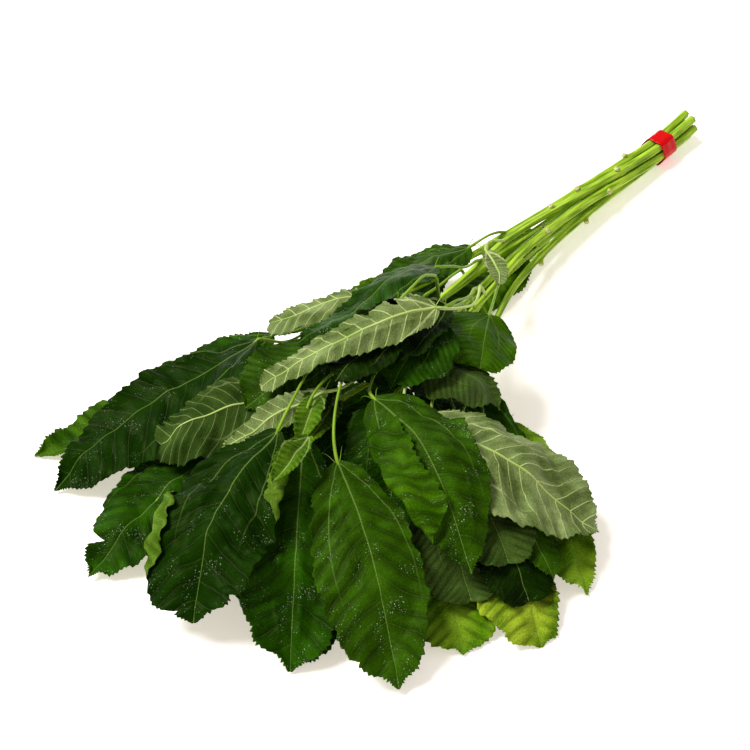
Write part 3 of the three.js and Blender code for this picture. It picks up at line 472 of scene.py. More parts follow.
def tube(line, radii, sides, look, end_look=None, end_rows=0, flat=False):
    """A closed tube: circles of the given radii, one number or one for each side, square to
    the line, with a pole at each end. The first end_rows rows have the material end_look,
    and where they are flat they face the way that the line goes on from them."""
    rows = len(line)
    tangent = unit(np.gradient(line, axis=0))
    if flat:
        tangent[:end_rows + 1] = unit(line[end_rows + 1] - line[end_rows])
    across = unit(np.cross(tangent, [0, 0, 1.0]))
    top = np.cross(across, tangent)
    angle = np.linspace(0, 2 * np.pi, sides, endpoint=False)
    radii = np.asarray(radii, float).reshape(rows, -1)
    ring = across[:, None] * np.cos(angle)[:, None] + top[:, None] * np.sin(angle)[:, None]
    around = line[:, None] + ring * np.broadcast_to(radii, (rows, sides))[..., None]
    points = np.concatenate([around.reshape(-1, 3), line[:1], line[-1:]])
    quads = grid_quads(rows, sides, wrap=True)
    here = np.arange(sides)
    ahead = (here + 1) % sides
    final = (rows - 1) * sides
    triangles = np.concatenate([
        np.stack([np.full(sides, rows * sides), here, ahead], -1),
        np.stack([np.full(sides, rows * sides + 1), final + ahead, final + here], -1),
    ])
    looks = np.full(len(quads) + len(triangles), look)
    if end_rows:
        looks[:end_rows * sides] = end_look
        looks[len(quads):len(quads) + sides] = end_look
    run = np.concatenate([[0], np.cumsum(np.linalg.norm(np.diff(line, axis=0), axis=1))])
    share = run / max(run[-1], 1e-9)
    place = np.stack(np.broadcast_arrays(
        run[:, None], angle * radii.mean(), share[:, None]), -1).reshape(-1, 3)
    ends = np.array([[0, 0, 0], [run[-1], 0, 1.0]])
    return part(points, quads, triangles, looks, np.concatenate([place, ends]))


def blade(leaf_, heights, rng, settings, looks):
    """The blade as a thin shell. Its grid follows the outline, with a tooth every few rows.
    A folded margin is wound round half a cylinder and lies back over the blade: past a
    half width h from the midrib, plan distance is h + r sin(e / r) and lift is
    r (1 - cos(e / r)) for an excess of e up to pi r, and what is left of e runs straight back.
    A ridge lifts the blade by h exp(-distance / w) from a line along it. Soft bulges, and
    pleats like the sine of the distance past a side vein, raise it. The relief, along the
    normal, is the quilting between side veins, a groove on the midrib, soft ripples and a
    frill at the margin. Returns the shell and the line of its midrib."""
    span = np.linalg.norm(np.array(leaf_.tip[:2], float) - leaf_.base[:2])
    teeth = TEETH_HIDDEN if leaf_.hidden else int(np.clip(span / TOOTH_STEP, TEETH_HIDDEN, TEETH))
    halves = HALF_COLUMNS_FOLDED if leaf_.folds or leaf_.ridges else HALF_COLUMNS
    halves = HALF_COLUMNS_HIDDEN if leaf_.hidden else halves
    rows = teeth * TOOTH_ROWS + 1
    share = np.linspace(0, 1, rows)
    share = share - ROW_CROWDING * np.sin(2 * np.pi * share) / (2 * np.pi)
    columns = np.concatenate([-halves[::-1], [0], halves])
    u, v = np.meshgrid(share, columns, indexing="ij")
    side = np.where(v < 0, -1.0, 1.0)
    half = half_width(leaf_, u, side)
    half = half - (STALK_HALF_WIDTH - TIP_HALF) * smooth(u, TIP_FROM, 1)
    half = half * (1 - TIP_DRAWN * np.sign(leaf_.pointing) * smooth(u, TIP_FROM, TIP_TO))
    drift = ripples(u * ROUND_LENGTH, side * ROUND_LENGTH, rng, 6, 26)
    half = half * (1 + MARGIN_WANDER * drift)
    for notch_side, spot, depth, width in leaf_.notches:
        bite = np.where(side == notch_side, depth, 0) * np.exp(-((u - spot) / width) ** 2)
        half = half * (1 - bite)
    flap = np.zeros_like(half)
    for fold_side, start, end, width, _, ramp in leaf_.folds:
        amount = smooth(u, start, start + ramp) * (1 - smooth(u, end - FOLD_END, end))
        flap += np.where(side == fold_side, width * amount, 0)
    across = (half + flap) * np.abs(v)

    row = np.arange(rows)
    saw = ((row[:, None] + np.array([0, 2])) % TOOTH_ROWS) / (TOOTH_ROWS - 1)
    number = (row[:, None] + np.array([0, 2])) // TOOTH_ROWS
    sizes = rng.uniform(*TOOTH_SIZES, (teeth + 2, 2))
    size = np.take_along_axis(sizes, number, 0) * saw
    inside = smooth(share, 0.03, 0.12) * (1 - smooth(share, 0.96, 1))
    size = size * min(1.0, span / FULL_SPAN) * settings.tooth_height / MM * inside[:, None]
    tooth = np.where(v < 0, size[:, :1], size[:, 1:]) * smooth(np.abs(v), TOOTH_FROM, 1)
    across = across + tooth

    lift = np.zeros_like(across)
    plan_across = across
    for fold_side, _, _, _, radius, _ in leaf_.folds:
        excess = np.where(side == fold_side, np.maximum(across - half, 0), 0) * smooth(flap, 0, 2)
        turn = np.minimum(excess / radius, np.pi)
        flat = np.maximum(excess - np.pi * radius, 0)
        plan_across = np.where(excess > 0, half + radius * np.sin(turn) - flat, plan_across)
        lift += radius * (1 - np.cos(turn)) + FLAP_RISE * flat
    for ridge_side, place, start, end, height in leaf_.ridges:
        amount = smooth(u, start, start + RIDGE_END) * (1 - smooth(u, end - RIDGE_END, end))
        gap = across - half * place - RIDGE_SWAY * np.sin(9 * u + 4 * place)
        rise = height * amount * np.exp(-np.abs(gap) / RIDGE_WIDTH)
        lift += np.where(side == ridge_side, rise, 0)

    plan, along = blade_plan(leaf_, u, side, plan_across)
    reach = np.clip(plan_across / np.maximum(half, 1e-6), 0, 1.1) * side
    lines = through(ROWS, heights.T[:, None], np.broadcast_to(share, (len(COLUMNS), rows)))
    z = through(COLUMNS, lines.T[:, None], np.clip(reach, -1, 1)) + lift
    bulges = np.maximum(0.4 + 0.6 * ripples(along, plan_across * side, rng, *BULGES), 0)
    pleats = np.sin(PLEAT * (along - VEIN_LEAN * plan_across) + rng.uniform(0, 6) + side)
    uneven = 1 + 0.5 * ripples(along, plan_across * side, rng, 20, 50)
    pleats = pleats * smooth(plan_across, 2, 12) * uneven
    raised = bulges + PLEAT_SHARE * (1 + pleats)
    z = z + leaf_.crumple * raised * smooth(u, RELIEF_FROM, RELIEF_TO)
    surface = np.concatenate([plan, z[..., None]], -1)

    length = along[-1, len(halves)]
    scale = min(1.0, length / FULL_SPAN)
    warp = ripples(along, across * side, rng, 25, 60)
    leant = along - VEIN_LEAN * across - VEIN_CURVE * across ** 2
    phase = leant / (length / SIDE_VEINS) + 0.1 * warp
    lateral = (across - LATERAL_RISE * along * (1 - along / (LATERAL_TURN * length))) / 1.2
    quilt = np.abs(np.sin(np.pi * phase)) ** 0.8 - 0.6
    quilt = quilt * smooth(across, 0.5, 5) * smooth(u, 0.02, 0.15)
    quilt = quilt * (1 - 0.6 * smooth(np.abs(v), 0.8, 1))
    groove = -np.exp(-(across / GROOVE) ** 2)
    soft = ripples(along, across * side, rng, 7, 16) * 0.35
    frill = smooth(np.abs(v), 0.6, 1) * np.sin(2 * np.pi * phase + side)
    face = -1 if leaf_.under else 1
    relief = face * scale * settings.quilting / MM * (quilt + 0.6 * groove + soft + 0.7 * frill)
    normal = unit(np.cross(np.gradient(surface, axis=0), np.gradient(surface, axis=1)))
    surface = surface + normal * relief[..., None]
    surface[..., 2] = np.maximum(surface[..., 2], LEAST_HEIGHT + settings.thickness / MM / 2)

    place = np.stack([along, across * side, phase], -1)
    field = np.stack([lateral, half - across, u], -1)
    return shell(surface, settings.thickness / MM, place, field, looks), surface[:, len(halves)]


# Stems and stalks

def origin():
    """Where the layout's zero lies in the frame: the tape's box has it."""
    low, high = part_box("band")
    middle = np.array((low + high) / 2) / MM
    return np.array([middle[0] - TAPE_X, middle[1] - TAPE_Y, 0])


def ring_angle(k):
    """Angle of the ring's stem k, the first of them half a step past straight down."""
    return math.radians(-90 + (360 / RING_COUNT) * (k + 0.5))


def bundle_spots():
    """Axes of the tied stems: one in the middle and six in a ring round it."""
    height = RING_RADIUS * math.cos(math.pi / RING_COUNT) + STEM_RADIUS + TAPE_CLEARANCE
    ring = [(TAPE_Y + RING_RADIUS * math.cos(ring_angle(k)),
             height + RING_RADIUS * math.sin(ring_angle(k))) for k in range(RING_COUNT)]
    return [(TAPE_Y, height), *ring]


def catmull_rom(points, steps):
    """Centripetal Catmull-Rom curve: on each stretch the cubic whose end slopes come from
    the knots' spacing, the fourth root of the squared distance between points."""
    p = np.array(points, float)
    p = np.vstack([2 * p[0] - p[1], p, 2 * p[-1] - p[-2]])
    gap = np.linalg.norm(np.diff(p, axis=0), axis=1) ** 0.5
    d0, d1, d2 = gap[:-2, None], gap[1:-1, None], gap[2:, None]
    p0, p1, p2, p3 = p[:-3], p[1:-2], p[2:-1], p[3:]
    m1 = ((p1 - p0) / d0 - (p2 - p0) / (d0 + d1) + (p2 - p1) / d1) * d1
    m2 = ((p2 - p1) / d1 - (p3 - p1) / (d1 + d2) + (p3 - p2) / d2) * d1
    t = np.linspace(0, 1, steps, endpoint=False)[None, :, None]
    p1, p2, m1, m2 = (x[:, None] for x in (p1, p2, m1, m2))
    rise = (3 - 2 * t) * t * t
    curve = (1 - rise) * p1 + rise * p2 + t * (1 - t) * ((1 - t) * m1 - t * m2)
    return np.vstack([curve.reshape(-1, 3), p[-2:-1]])


def evenly(line, count):
    """The line's points again, at equal steps of its length."""
    run = np.concatenate([[0], np.cumsum(np.linalg.norm(np.diff(line, axis=0), axis=1))])
    at = np.linspace(0, run[-1], count)
    return np.stack([np.interp(at, run, line[:, k]) for k in range(3)], -1)


def stem_line(stem_):
    """A stem's axis: straight under the tape, and curved through its route."""
    y, z = bundle_spots()[stem_.spot]
    reach = TAPE_WIDTH / 2 + STRAIGHT
    ends = [(stem_.cut, y + stem_.spread[0], z + stem_.spread[1]),
            (TAPE_X + reach, y, z), (TAPE_X - reach, y, z)]
    return evenly(catmull_rom([*ends, *stem_.route], 40), STEM_ROWS)


def stem_radius(share):
    """Radius at a share of the length: even near the cut end, and then thinner."""
    return STEM_RADIUS + (STEM_TIP_RADIUS - STEM_RADIUS) * smooth(share, TAPER_FROM, 1)


def on_stem(line, x):
    """Centre, direction and share of the length where the stem passes x."""
    share = np.interp(-x, -line[:, 0], np.linspace(0, 1, len(line)))
    at = share * (len(line) - 1)
    k = min(int(at), len(line) - 2)
    centre = line[k] + (line[k + 1] - line[k]) * (at - k)
    return centre, unit(line[k + 1] - line[k]), share


def stalk_line(leaf_, lines, points, count=28):
    """The stalk's axis: a quadratic curve in plan, its heights read from the solid. It
    starts inside the stem, a little nearer the cut end."""
    number, x, side = leaf_.stalk
    centre, tangent, share = on_stem(lines[number], x)
    aside = unit(np.array([tangent[1], -tangent[0]]))
    offset = 0 if leaf_.low else side * stem_radius(share) * STALK_ASIDE
    start = centre[:2] + aside * offset
    base, tip = np.array(leaf_.base, float), np.array(leaf_.tip, float)
    lead = base - unit(tip - base) * np.linalg.norm(base - start) * STALK_LEAD

    def plan(s):
        s = s[:, None]
        return (1 - s) ** 2 * start + 2 * s * (1 - s) * lead + s ** 2 * base

    heights = heights_at(points, plan(STALK_PARTS))
    s = np.linspace(0, 1, count)
    z = through(STALK_PARTS, heights, s)
    root, _, _ = on_stem(lines[number], x + STALK_ROOT)
    return np.vstack([root, np.column_stack([plan(s), z])])


def stalk_and_rib(leaf_, lines, points, midrib, settings):
    """One tube: the stalk, then the midrib under the blade, thinning to the tip."""
    stalk = stalk_line(leaf_, lines, points)
    pick = np.linspace(2, len(midrib) * 0.97, RIB_ROWS).astype(int)
    along = np.linspace(0, 1, RIB_ROWS)
    girth = settings.stalk_radius / MM
    rib_radii = girth * (0.7 * (1 - along) ** 0.8 + 0.15)
    rib = midrib[pick]
    rib[:, 2] += np.where(leaf_.under, RIB_RAISED, -RIB_SUNK - rib_radii) * smooth(along, 0, 0.06)
    stalk_radii = girth * (1 - 0.25 * np.sin(np.pi * np.linspace(0, 1, len(stalk))))
    line = smoothed(np.vstack([stalk, rib]), 2)
    return tube(line, np.concatenate([stalk_radii, rib_radii]), 10, 2)


def smoothed(line, times):
    """Each inner point moved to the mean of itself and its neighbours' middle, times over."""
    line = line.copy()
    for _ in range(times):
        line[1:-1] = line[1:-1] / 2 + (line[:-2] + line[2:]) / 4
    return line


def bristles(leaf_, midrib, rng):
    """The two hairs at the blade's base: arcs that run back and outwards and droop."""
    along = unit(midrib[6] - midrib[0])
    aside = np.array([-along[1], along[0], 0])
    t = np.linspace(0, 1, 9)[:, None]
    parts = []
    for side in (-1, 1):
        length = rng.uniform(7, 12)
        bend = rng.uniform(-0.5, 0.5)
        line = midrib[3] + aside * side * (0.8 + length * 0.5 * t)
        line = line - along * length * 0.8 * t * (1 - bend * t)
        line = line + np.array([0, 0, 1.0]) * length * 0.25 * np.sin(np.pi * t * 0.8)
        parts.append(tube(line, 0.2 * (1 - t[:, 0]) + 0.06, 5, 2))
    return parts


# Meshes and materials

MIX_A, MIX_B, MIXED = 6, 7, 2    # a mix node's two colours, and its result
FADE = {3: 1.0, 4: 0.0}          # a map range that falls from 1 to 0 between its two limits


def wire(node, links):
    """Sets a node's inputs, by name or number: each to a value, or joined to a socket or to
    another node's first output."""
    for key, value in links.items():
        if isinstance(value, bpy.types.Node):
            value = value.outputs[0]
        if isinstance(value, bpy.types.NodeSocket):
            node.id_data.links.new(value, node.inputs[key])
        else:
            node.inputs[key].default_value = value


def add(tree, kind, links=None, **settings):
    """Adds one shader node to a tree: settings are its own values, links its inputs."""
    node = tree.nodes.new("ShaderNode" + kind)
    for key, value in settings.items():
        setattr(node, key, value)
    wire(node, links or {})
    return node


def new_material(name):
    """An empty material, its surface node joined to the output, and what adds more nodes."""
    material = bpy.data.materials.new(name)
    material.use_nodes = True
    material.node_tree.nodes.clear()
    surface = add(material.node_tree, "BsdfPrincipled")
    add(material.node_tree, "OutputMaterial", {"Surface": surface})
    return material, surface, partial(add, material.node_tree)


def rgba(colour_):
    return (*colour_[:3], 1.0)


def leaf_skin(name, deep, light, rib, dew=0, rough=0.5, raised=1.0, clear=0.5, side_veins=0.5,
              broad=1.0, shade=0.6):
    """Leaf epidermis with its wax film: cells and fine veins break up a soft gloss. The big
    veins are paler by the share clear and the side veins by the share side_veins, broad makes
    them all wider, and the colour drifts over a few centimetres. Painted shade darkens the
    furrows along the side veins, or between them where the veins are raised, by the share
    shade. Dew is small clear drops that show as bright specks: painted highlights, on top of
    their bump and lower roughness. Sizes are in millimetres of the blade's own map, which its
    attributes hold: rib_place is the distance along, the distance across and the count of side
    veins, and rib_field the distance past the big side vein, the distance to the margin and the
    share of the length."""
    material, surface, new = new_material(name)
    place, field = (
        new("SeparateXYZ", {0: new("Attribute", attribute_name=f"rib_{kind}").outputs["Vector"]})
        for kind in ("place", "field"))
    run, offset, phase = place.outputs
    past_lateral, _, share = field.outputs
    flat = new("CombineXYZ", {0: run, 1: offset})

    def from_whole(value, shift):
        """|fract(value + shift) - 0.5|: how far value is from a whole number for a shift of
        0.5, and from a half for none."""
        moved = new("Math", {0: value, 1: shift}, operation="ADD")
        less = new("Math", {0: new("Math", {0: moved}, operation="FRACT"), 1: 0.5},
                   operation="SUBTRACT")
        return new("Math", {0: less}, operation="ABSOLUTE")

    # Big veins: the midrib thins from 1.2 mm to 0.4 mm wide, and the pair beside it fades
    across = new("Math", {0: offset}, operation="ABSOLUTE")
    rib_width = new("MapRange", {0: share, 3: 0.62 * broad, 4: 0.18 * broad})
    midrib = new("Math", {0: across, 1: rib_width}, operation="DIVIDE")
    midrib = new("MapRange", {0: midrib, 1: 0.35, 2: 1.0, **FADE})
    lateral = new("Math", {0: past_lateral}, operation="ABSOLUTE")
    lateral = new("MapRange", {0: lateral, 1: 0.08 * broad, 2: 0.38 * broad, **FADE})
    basal = new("MapRange", {0: share, 1: 0.35, 2: 0.7, **FADE})
    lateral = new("Math", {0: lateral, 1: basal}, operation="MULTIPLY")
    side = new("MapRange", {0: from_whole(phase, 0.5), 1: 0.006 * broad, 2: 0.035 * broad, **FADE})
    thinning = new("MapRange", {0: across, 1: 2.0, 2: 26.0, 3: side_veins, 4: 0.2})
    side = new("Math", {0: side, 1: thinning}, operation="MULTIPLY")
    veins = new("Math", {0: lateral, 1: 0.8}, operation="MULTIPLY")
    veins = new("Math", {0: veins, 1: side}, operation="MAXIMUM")
    veins = new("Math", {0: midrib, 1: veins}, operation="MAXIMUM")

    # Fine veins: a net with meshes of 2.3 mm, and broken rungs, six to a side vein
    net = new("TexVoronoi", {"Vector": flat, "Scale": 1 / 2.3, "Randomness": 0.9},
              voronoi_dimensions="2D", feature="DISTANCE_TO_EDGE")
    net = new("MapRange", {0: net, 1: 0.02, 2: 0.14, **FADE})
    rungs = from_whole(new("Math", {0: phase, 1: 6.0}, operation="MULTIPLY"), 0.5)
    rungs = new("MapRange", {0: rungs, 1: 0.02, 2: 0.3, **FADE})
    broken = new("TexNoise", {"Vector": flat, "Scale": 1 / 4.0}, noise_dimensions="2D")
    broken = new("MapRange", {0: broken, 1: 0.4, 2: 0.6})
    rungs = new("Math", {0: rungs, 1: broken}, operation="MULTIPLY")
    fine = new("Math", {0: net, 1: 0.7}, operation="MULTIPLY")
    fine = new("Math", {0: fine, 1: rungs}, operation="MAXIMUM")

    # Colour: a drift over 18 mm, fine veins, painted shade in the furrows, big veins, and a grain
    # of 0.8 mm
    drift = new("TexNoise", {"Vector": flat, "Scale": 1 / 18.0, "Detail": 3.0},
                noise_dimensions="2D")
    drift = new("MapRange", {0: drift, 1: 0.36, 2: 0.66})
    grain = new("TexNoise", {"Vector": flat, "Scale": 1 / 0.8, "Detail": 2.0},
                noise_dimensions="2D")
    mottle = new("MapRange", {0: grain, 1: 0.3, 2: 0.7, 3: 0.78, 4: 1.16})
    # Painted shade: in furrows along the side veins, or between them where the veins are raised,
    # the blade darkens towards 0.3 times its darkest colour, more so away from the midrib
    furrow_shade = from_whole(phase, 0.5 if raised < 0 else 0.0)
    furrow_shade = new("MapRange", {0: furrow_shade, 1: 0.02, 2: 0.34, **FADE})
    furrow_shade = new("Math", {0: furrow_shade, 1: new("MapRange", {0: across, 1: 1.0, 2: 7.0, 4: shade})},
                 operation="MULTIPLY")
    faint = new("Math", {0: fine, 1: 0.3}, operation="MULTIPLY")
    paler = new("Math", {0: veins, 1: clear}, operation="MULTIPLY")
    tone = rgba(deep)
    for amount, other in ((drift, light), (faint, light), (furrow_shade, [c * 0.3 for c in deep]),
                          (paler, rib)):
        tone = new("Mix", {0: amount, MIX_A: tone, MIX_B: rgba(other)},
                   data_type="RGBA").outputs[MIXED]
    tone = new("Mix", {0: 1.0, MIX_A: tone, MIX_B: mottle}, data_type="RGBA",
               blend_type="MULTIPLY").outputs[MIXED]

    # Relief: veins, creases drawn out along the side veins, fine veins and grain
    drawn = new("CombineXYZ", {
        0: new("Math", {0: phase, 1: 3.2}, operation="MULTIPLY"),
        1: new("Math", {0: offset, 1: 1 / 7.0}, operation="MULTIPLY")})
    crease = new("TexNoise", {"Vector": drawn, "Scale": 1.0, "Detail": 2.0, "Distortion": 0.6},
                 noise_dimensions="2D")
    height = new("Math", {0: veins, 1: raised}, operation="MULTIPLY")
    for relief, amount in ((crease, 2.0), (fine, raised * 0.4), (grain, 0.3)):
        height = new("Math", {0: relief, 1: amount, 2: height}, operation="MULTIPLY_ADD")

    if dew > 0:
        drops = new("TexVoronoi", {"Vector": flat, "Scale": 1 / 1.0}, voronoi_dimensions="2D")
        chance = new("SeparateXYZ", {0: drops.outputs["Color"]})
        size = new("MapRange", {0: chance, 1: 0.3, 3: 0.01, 4: 0.3})
        drops = new("Math", {0: drops, 1: size}, operation="DIVIDE")
        drops = new("MapRange", {0: drops, 1: 0.6, 2: 1.0, **FADE})
        where = new("TexNoise", {"Vector": flat, "Scale": 1 / 14.0, "Detail": 4.0,
                                 "Roughness": 0.75}, noise_dimensions="2D")
        where = new("MapRange", {0: where, 1: 0.55, 2: 0.64, 4: dew})
        wet = new("Math", {0: drops, 1: where}, operation="MULTIPLY")
        # Painted highlights: the drops' bright specks are mixed into the colour, on top of their
        # bump and lower roughness
        pale = new("Math", {0: wet, 1: 0.75}, operation="MULTIPLY")
        tone = new("Mix", {0: pale, MIX_A: tone, MIX_B: rgba(linear("#b4c4a2"))},
                   data_type="RGBA").outputs[MIXED]
        height = new("Math", {0: wet, 1: 0.8, 2: height}, operation="MULTIPLY_ADD")
        rough = new("MapRange", {0: wet, 3: rough, 4: 0.12})
    bump = new("Bump", {"Strength": 0.6, "Distance": 0.0004, "Height": height})
    wire(surface, {"Roughness": rough, "Specular IOR Level": 0.05, "Normal": bump,
                   "Specular Tint": (0.7, 1.0, 0.3, 1), "Base Color": tone})
    return material


def stem_skin(name, deep, light):
    """Fresh green bark under a thin wax film: fine fibres run along it, with paler and
    darker streaks a few millimetres wide, and it is smooth enough for long soft lights."""
    material, surface, new = new_material(name)
    run, offset, _ = new("SeparateXYZ", {
        0: new("Attribute", attribute_name="rib_place").outputs["Vector"]}).outputs
    drawn = new("CombineXYZ", {
        0: new("Math", {0: run, 1: 1 / 22.0}, operation="MULTIPLY"),
        1: new("Math", {0: offset, 1: 1 / 1.6}, operation="MULTIPLY")})
    streaks = new("TexNoise", {"Vector": drawn, "Scale": 1.0, "Detail": 4.0})
    fibres = new("TexNoise", {"Vector": drawn, "Scale": 4.0, "Detail": 3.0})
    mixed = new("MapRange", {0: streaks, 1: 0.32, 2: 0.66})
    tone = new("Mix", {0: mixed, MIX_A: rgba(deep), MIX_B: rgba(light)}, data_type="RGBA")
    bump = new("Bump", {"Strength": 0.35, "Distance": 0.0002, "Height": fibres})
    wire(surface, {"Roughness": 0.38, "Specular IOR Level": 0.2, "Normal": bump,
                   "Specular Tint": (0.8, 1.0, 0.4, 1), "Base Color": tone.outputs[MIXED]})
    return material


def pith(name, damp, dried):
    """Cut plant tissue: damp, pale and porous, a little darker in spots where it has dried."""
    material, surface, new = new_material(name)
    spot = new("TexCoord").outputs["Object"]
    pores = new("TexNoise", {"Vector": spot, "Scale": 1 / 0.0009, "Detail": 3.0})
    mixed = new("MapRange", {0: pores, 1: 0.35, 2: 0.65})
    tone = new("Mix", {0: mixed, MIX_A: rgba(damp), MIX_B: rgba(dried)}, data_type="RGBA")
    bump = new("Bump", {"Strength": 0.5, "Distance": 0.0002, "Height": pores})
    wire(surface, {"Roughness": 0.6, "Normal": bump, "Base Color": tone.outputs[MIXED]})
    return material


def vinyl_tape(name, red):
    """Calendered red PVC tape: an even colour, nearly mirror-smooth, with a faint pull along
    its length from being stretched round the stems."""
    material, surface, new = new_material(name)
    spot = new("TexCoord").outputs["Object"]
    pulled = new("Mapping", {"Vector": spot, "Scale": (1.0, 0.12, 0.12)})
    pull = new("TexNoise", {"Vector": pulled, "Scale": 1 / 0.0012, "Detail": 1.0})
    even = new("MapRange", {0: pull, 1: 0.3, 2: 0.7, 3: 0.9, 4: 1.06})
    tone = new("Mix", {0: 1.0, MIX_A: rgba(red), MIX_B: even}, data_type="RGBA",
               blend_type="MULTIPLY")
    bump = new("Bump", {"Strength": 0.25, "Distance": 0.0001, "Height": pull})
    wire(surface, {"Roughness": 0.16, "Specular IOR Level": 0.12, "Normal": bump,
                   "Base Color": tone.outputs[MIXED]})
    return material


def make_piece(name, parts, materials, replaced):
    """One mesh of all the parts, in metres in the frame, riding on the bunch."""
    starts = np.cumsum([0] + [len(p.points) for p in parts])
    points = np.concatenate([p.points for p in parts])
    points = np.clip((points + ORIGIN) * MM, CAD_BOX[0], CAD_BOX[1])
    points[:, 2] = np.maximum(points[:, 2], LEAST_HEIGHT * MM)
    quads = np.concatenate([p.quads + s for p, s in zip(parts, starts)])
    triangles = np.concatenate([p.triangles + s for p, s in zip(parts, starts)])
    looks = np.concatenate([p.looks[:len(p.quads)] for p in parts]
                           + [p.looks[len(p.quads):] for p in parts])
    mesh = bpy.data.meshes.new(name)
    mesh.from_pydata(points, [], quads.tolist() + triangles.tolist())
    mesh.polygons.foreach_set("material_index", looks.astype(np.int32))
    mesh.polygons.foreach_set("use_smooth", np.ones(len(looks), bool))
    for kind in ("place", "field"):
        values = np.concatenate([getattr(p, kind) for p in parts])
        attribute = mesh.attributes.new(f"rib_{kind}", "FLOAT_VECTOR", "POINT")
        attribute.data.foreach_set("vector", values.astype(np.float32).ravel())
    for material in materials:
        mesh.materials.append(material)
    mesh.update()
    piece = bpy.data.objects.new(name, mesh)
    bpy.context.scene.collection.objects.link(piece)
    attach(piece, "root")
    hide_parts(replaced)
    return piece


# Settings

def length(name, description, default):
    return bpy.props.FloatProperty(name=name, description=description, default=default,
                                   min=0, subtype="DISTANCE", unit="LENGTH", precision=5)


def colour(name, description, hex_code):
    return bpy.props.FloatVectorProperty(name=name, description=description, size=3, min=0,
                                         max=1, subtype="COLOR", default=linear(hex_code))


class JuteLeafSettings(bpy.types.PropertyGroup):
    thickness: length("Blade thickness", "Thickness of a leaf's blade", 0.0003)
    tooth_height: length("Tooth height", "How far the margin's teeth stand out", 0.0011)
    quilting: length("Quilting", "Height of the blade's relief between its side veins", 0.0006)
    stalk_radius: length("Stalk radius", "Radius of a stalk where it joins its stem", 0.0009)
    rib: colour("Vein", "Big veins of the upper side", "#7f9a48")
    rib_under: colour("Vein below", "Big veins of the underside", "#c3cf88")
    stalk: colour("Stalk", "Stalk, darkest", "#5c7e14")
    stalk_light: colour("Stalk, lighter", "Stalk, lightest", "#92b636")


for key, (label, darkest, lightest, _) in LOOKS.items():
    JuteLeafSettings.__annotations__[key] = colour(label, f"{label}, darkest", darkest)
    JuteLeafSettings.__annotations__[f"{key}_light"] = colour(
        f"{label}, lighter", f"{label}, lightest", lightest)


class JuteStemSettings(bpy.types.PropertyGroup):
    ridge: length("Ridge", "Depth of a stem's shallow ridges", 0.0002)
    swelling: length("Swelling", "How much a stem swells at a leaf scar", 0.0005)
    deep: colour("Stem", "Stem, darkest", "#5c8606")
    light: colour("Stem, lighter", "Stem, lightest", "#bbdb40")
    cut: colour("Cut face", "Cut end of a stem", "#a9ae5e")
    dry: colour("Dried scar", "Dried end of a scar", "#9c9450")
    young: colour("Young leaf", "Young leaf, darkest", "#315406")
    young_light: colour("Young leaf, lighter", "Young leaf, lightest", "#668c1a")


class JuteTapeSettings(bpy.types.PropertyGroup):
    thickness: length("Tape thickness", "Thickness of the tape", 0.00022)
    colour: colour("Tape", "Colour of the tape", "#cc0004")


class JuteStageSettings(bpy.types.PropertyGroup):
    key: bpy.props.FloatProperty(name="Key light", description="Strength of the soft key light",
                                 default=3.6, min=0)
    sky: bpy.props.FloatProperty(name="Fill", description="Strength of the even light all round",
                                 default=0.45, min=0)
    glow: bpy.props.FloatProperty(name="Floor glow", default=0.5, min=0,
                                  description="Light that the white sheet lets through")
    floor: colour("Floor", "Colour of the floor", "#fbf9f6")


GROUPS = {"jute_leaf": JuteLeafSettings, "jute_stem": JuteStemSettings,
          "jute_tape": JuteTapeSettings, "jute_stage": JuteStageSettings}


def leaf_materials(settings):
    """The skin of each look, an underside where it is one, with the stalk and the midrib."""
    made = {}
    for look, (*_, dew) in LOOKS.items():
        shades = getattr(settings, look), getattr(settings, f"{look}_light")
        if look in UNDERSIDES:
            made[look] = leaf_skin(f"leaf_underside_{look}", *shades, settings.rib_under,
                                   rough=0.55, raised=1.0, clear=0.9 if look == "pale" else 0.3,
                                   side_veins=1.0, broad=1.7, shade=0.35)
        else:
            made[look] = leaf_skin(f"leaf_upper_{look}", *shades, settings.rib, dew,
                                   rough=0.42, raised=-0.5, clear=0.45, side_veins=0.22)
    made["stalk"] = stem_skin("leaf_stalk", settings.stalk, settings.stalk_light)
    made["midrib"] = stem_skin("leaf_midrib_below", settings.stalk_light, settings.rib_under)
    return made


# Operators

class JUTE_OT_leaves(bpy.types.Operator):
    """Makes the grown leaves, each with its stalk, midrib, toothed margin and hairs"""

    bl_idname = "jute.make_leaves"
    bl_label = "Make Leaves"

    def execute(self, context):
        settings = context.scene.jute_leaf
        made = leaf_materials(settings)
        lines = {s.number: stem_line(s) for s in STEMS}
        for number, leaf_ in enumerate(LEAVES):
            rng = np.random.default_rng(number + 11)
            points = corners(leaf_.name)
            looks = (1, 0) if leaf_.under else (0, 1)
            upper = made["mid" if leaf_.look in UNDERSIDES else leaf_.look]
            under = made[leaf_.look if leaf_.look in UNDERSIDES else leaf_.turned]
            skin, midrib = blade(leaf_, blade_heights(leaf_, points), rng, settings, looks)
            parts = [skin, stalk_and_rib(leaf_, lines, points, midrib, settings)]
            if not leaf_.hidden:
                parts += bristles(leaf_, midrib, rng)
            stalk = made["midrib" if leaf_.under else "stalk"]
            make_piece(f"{leaf_.name}_blade", parts, [upper, under, stalk], leaf_.name)
        return {"FINISHED"}


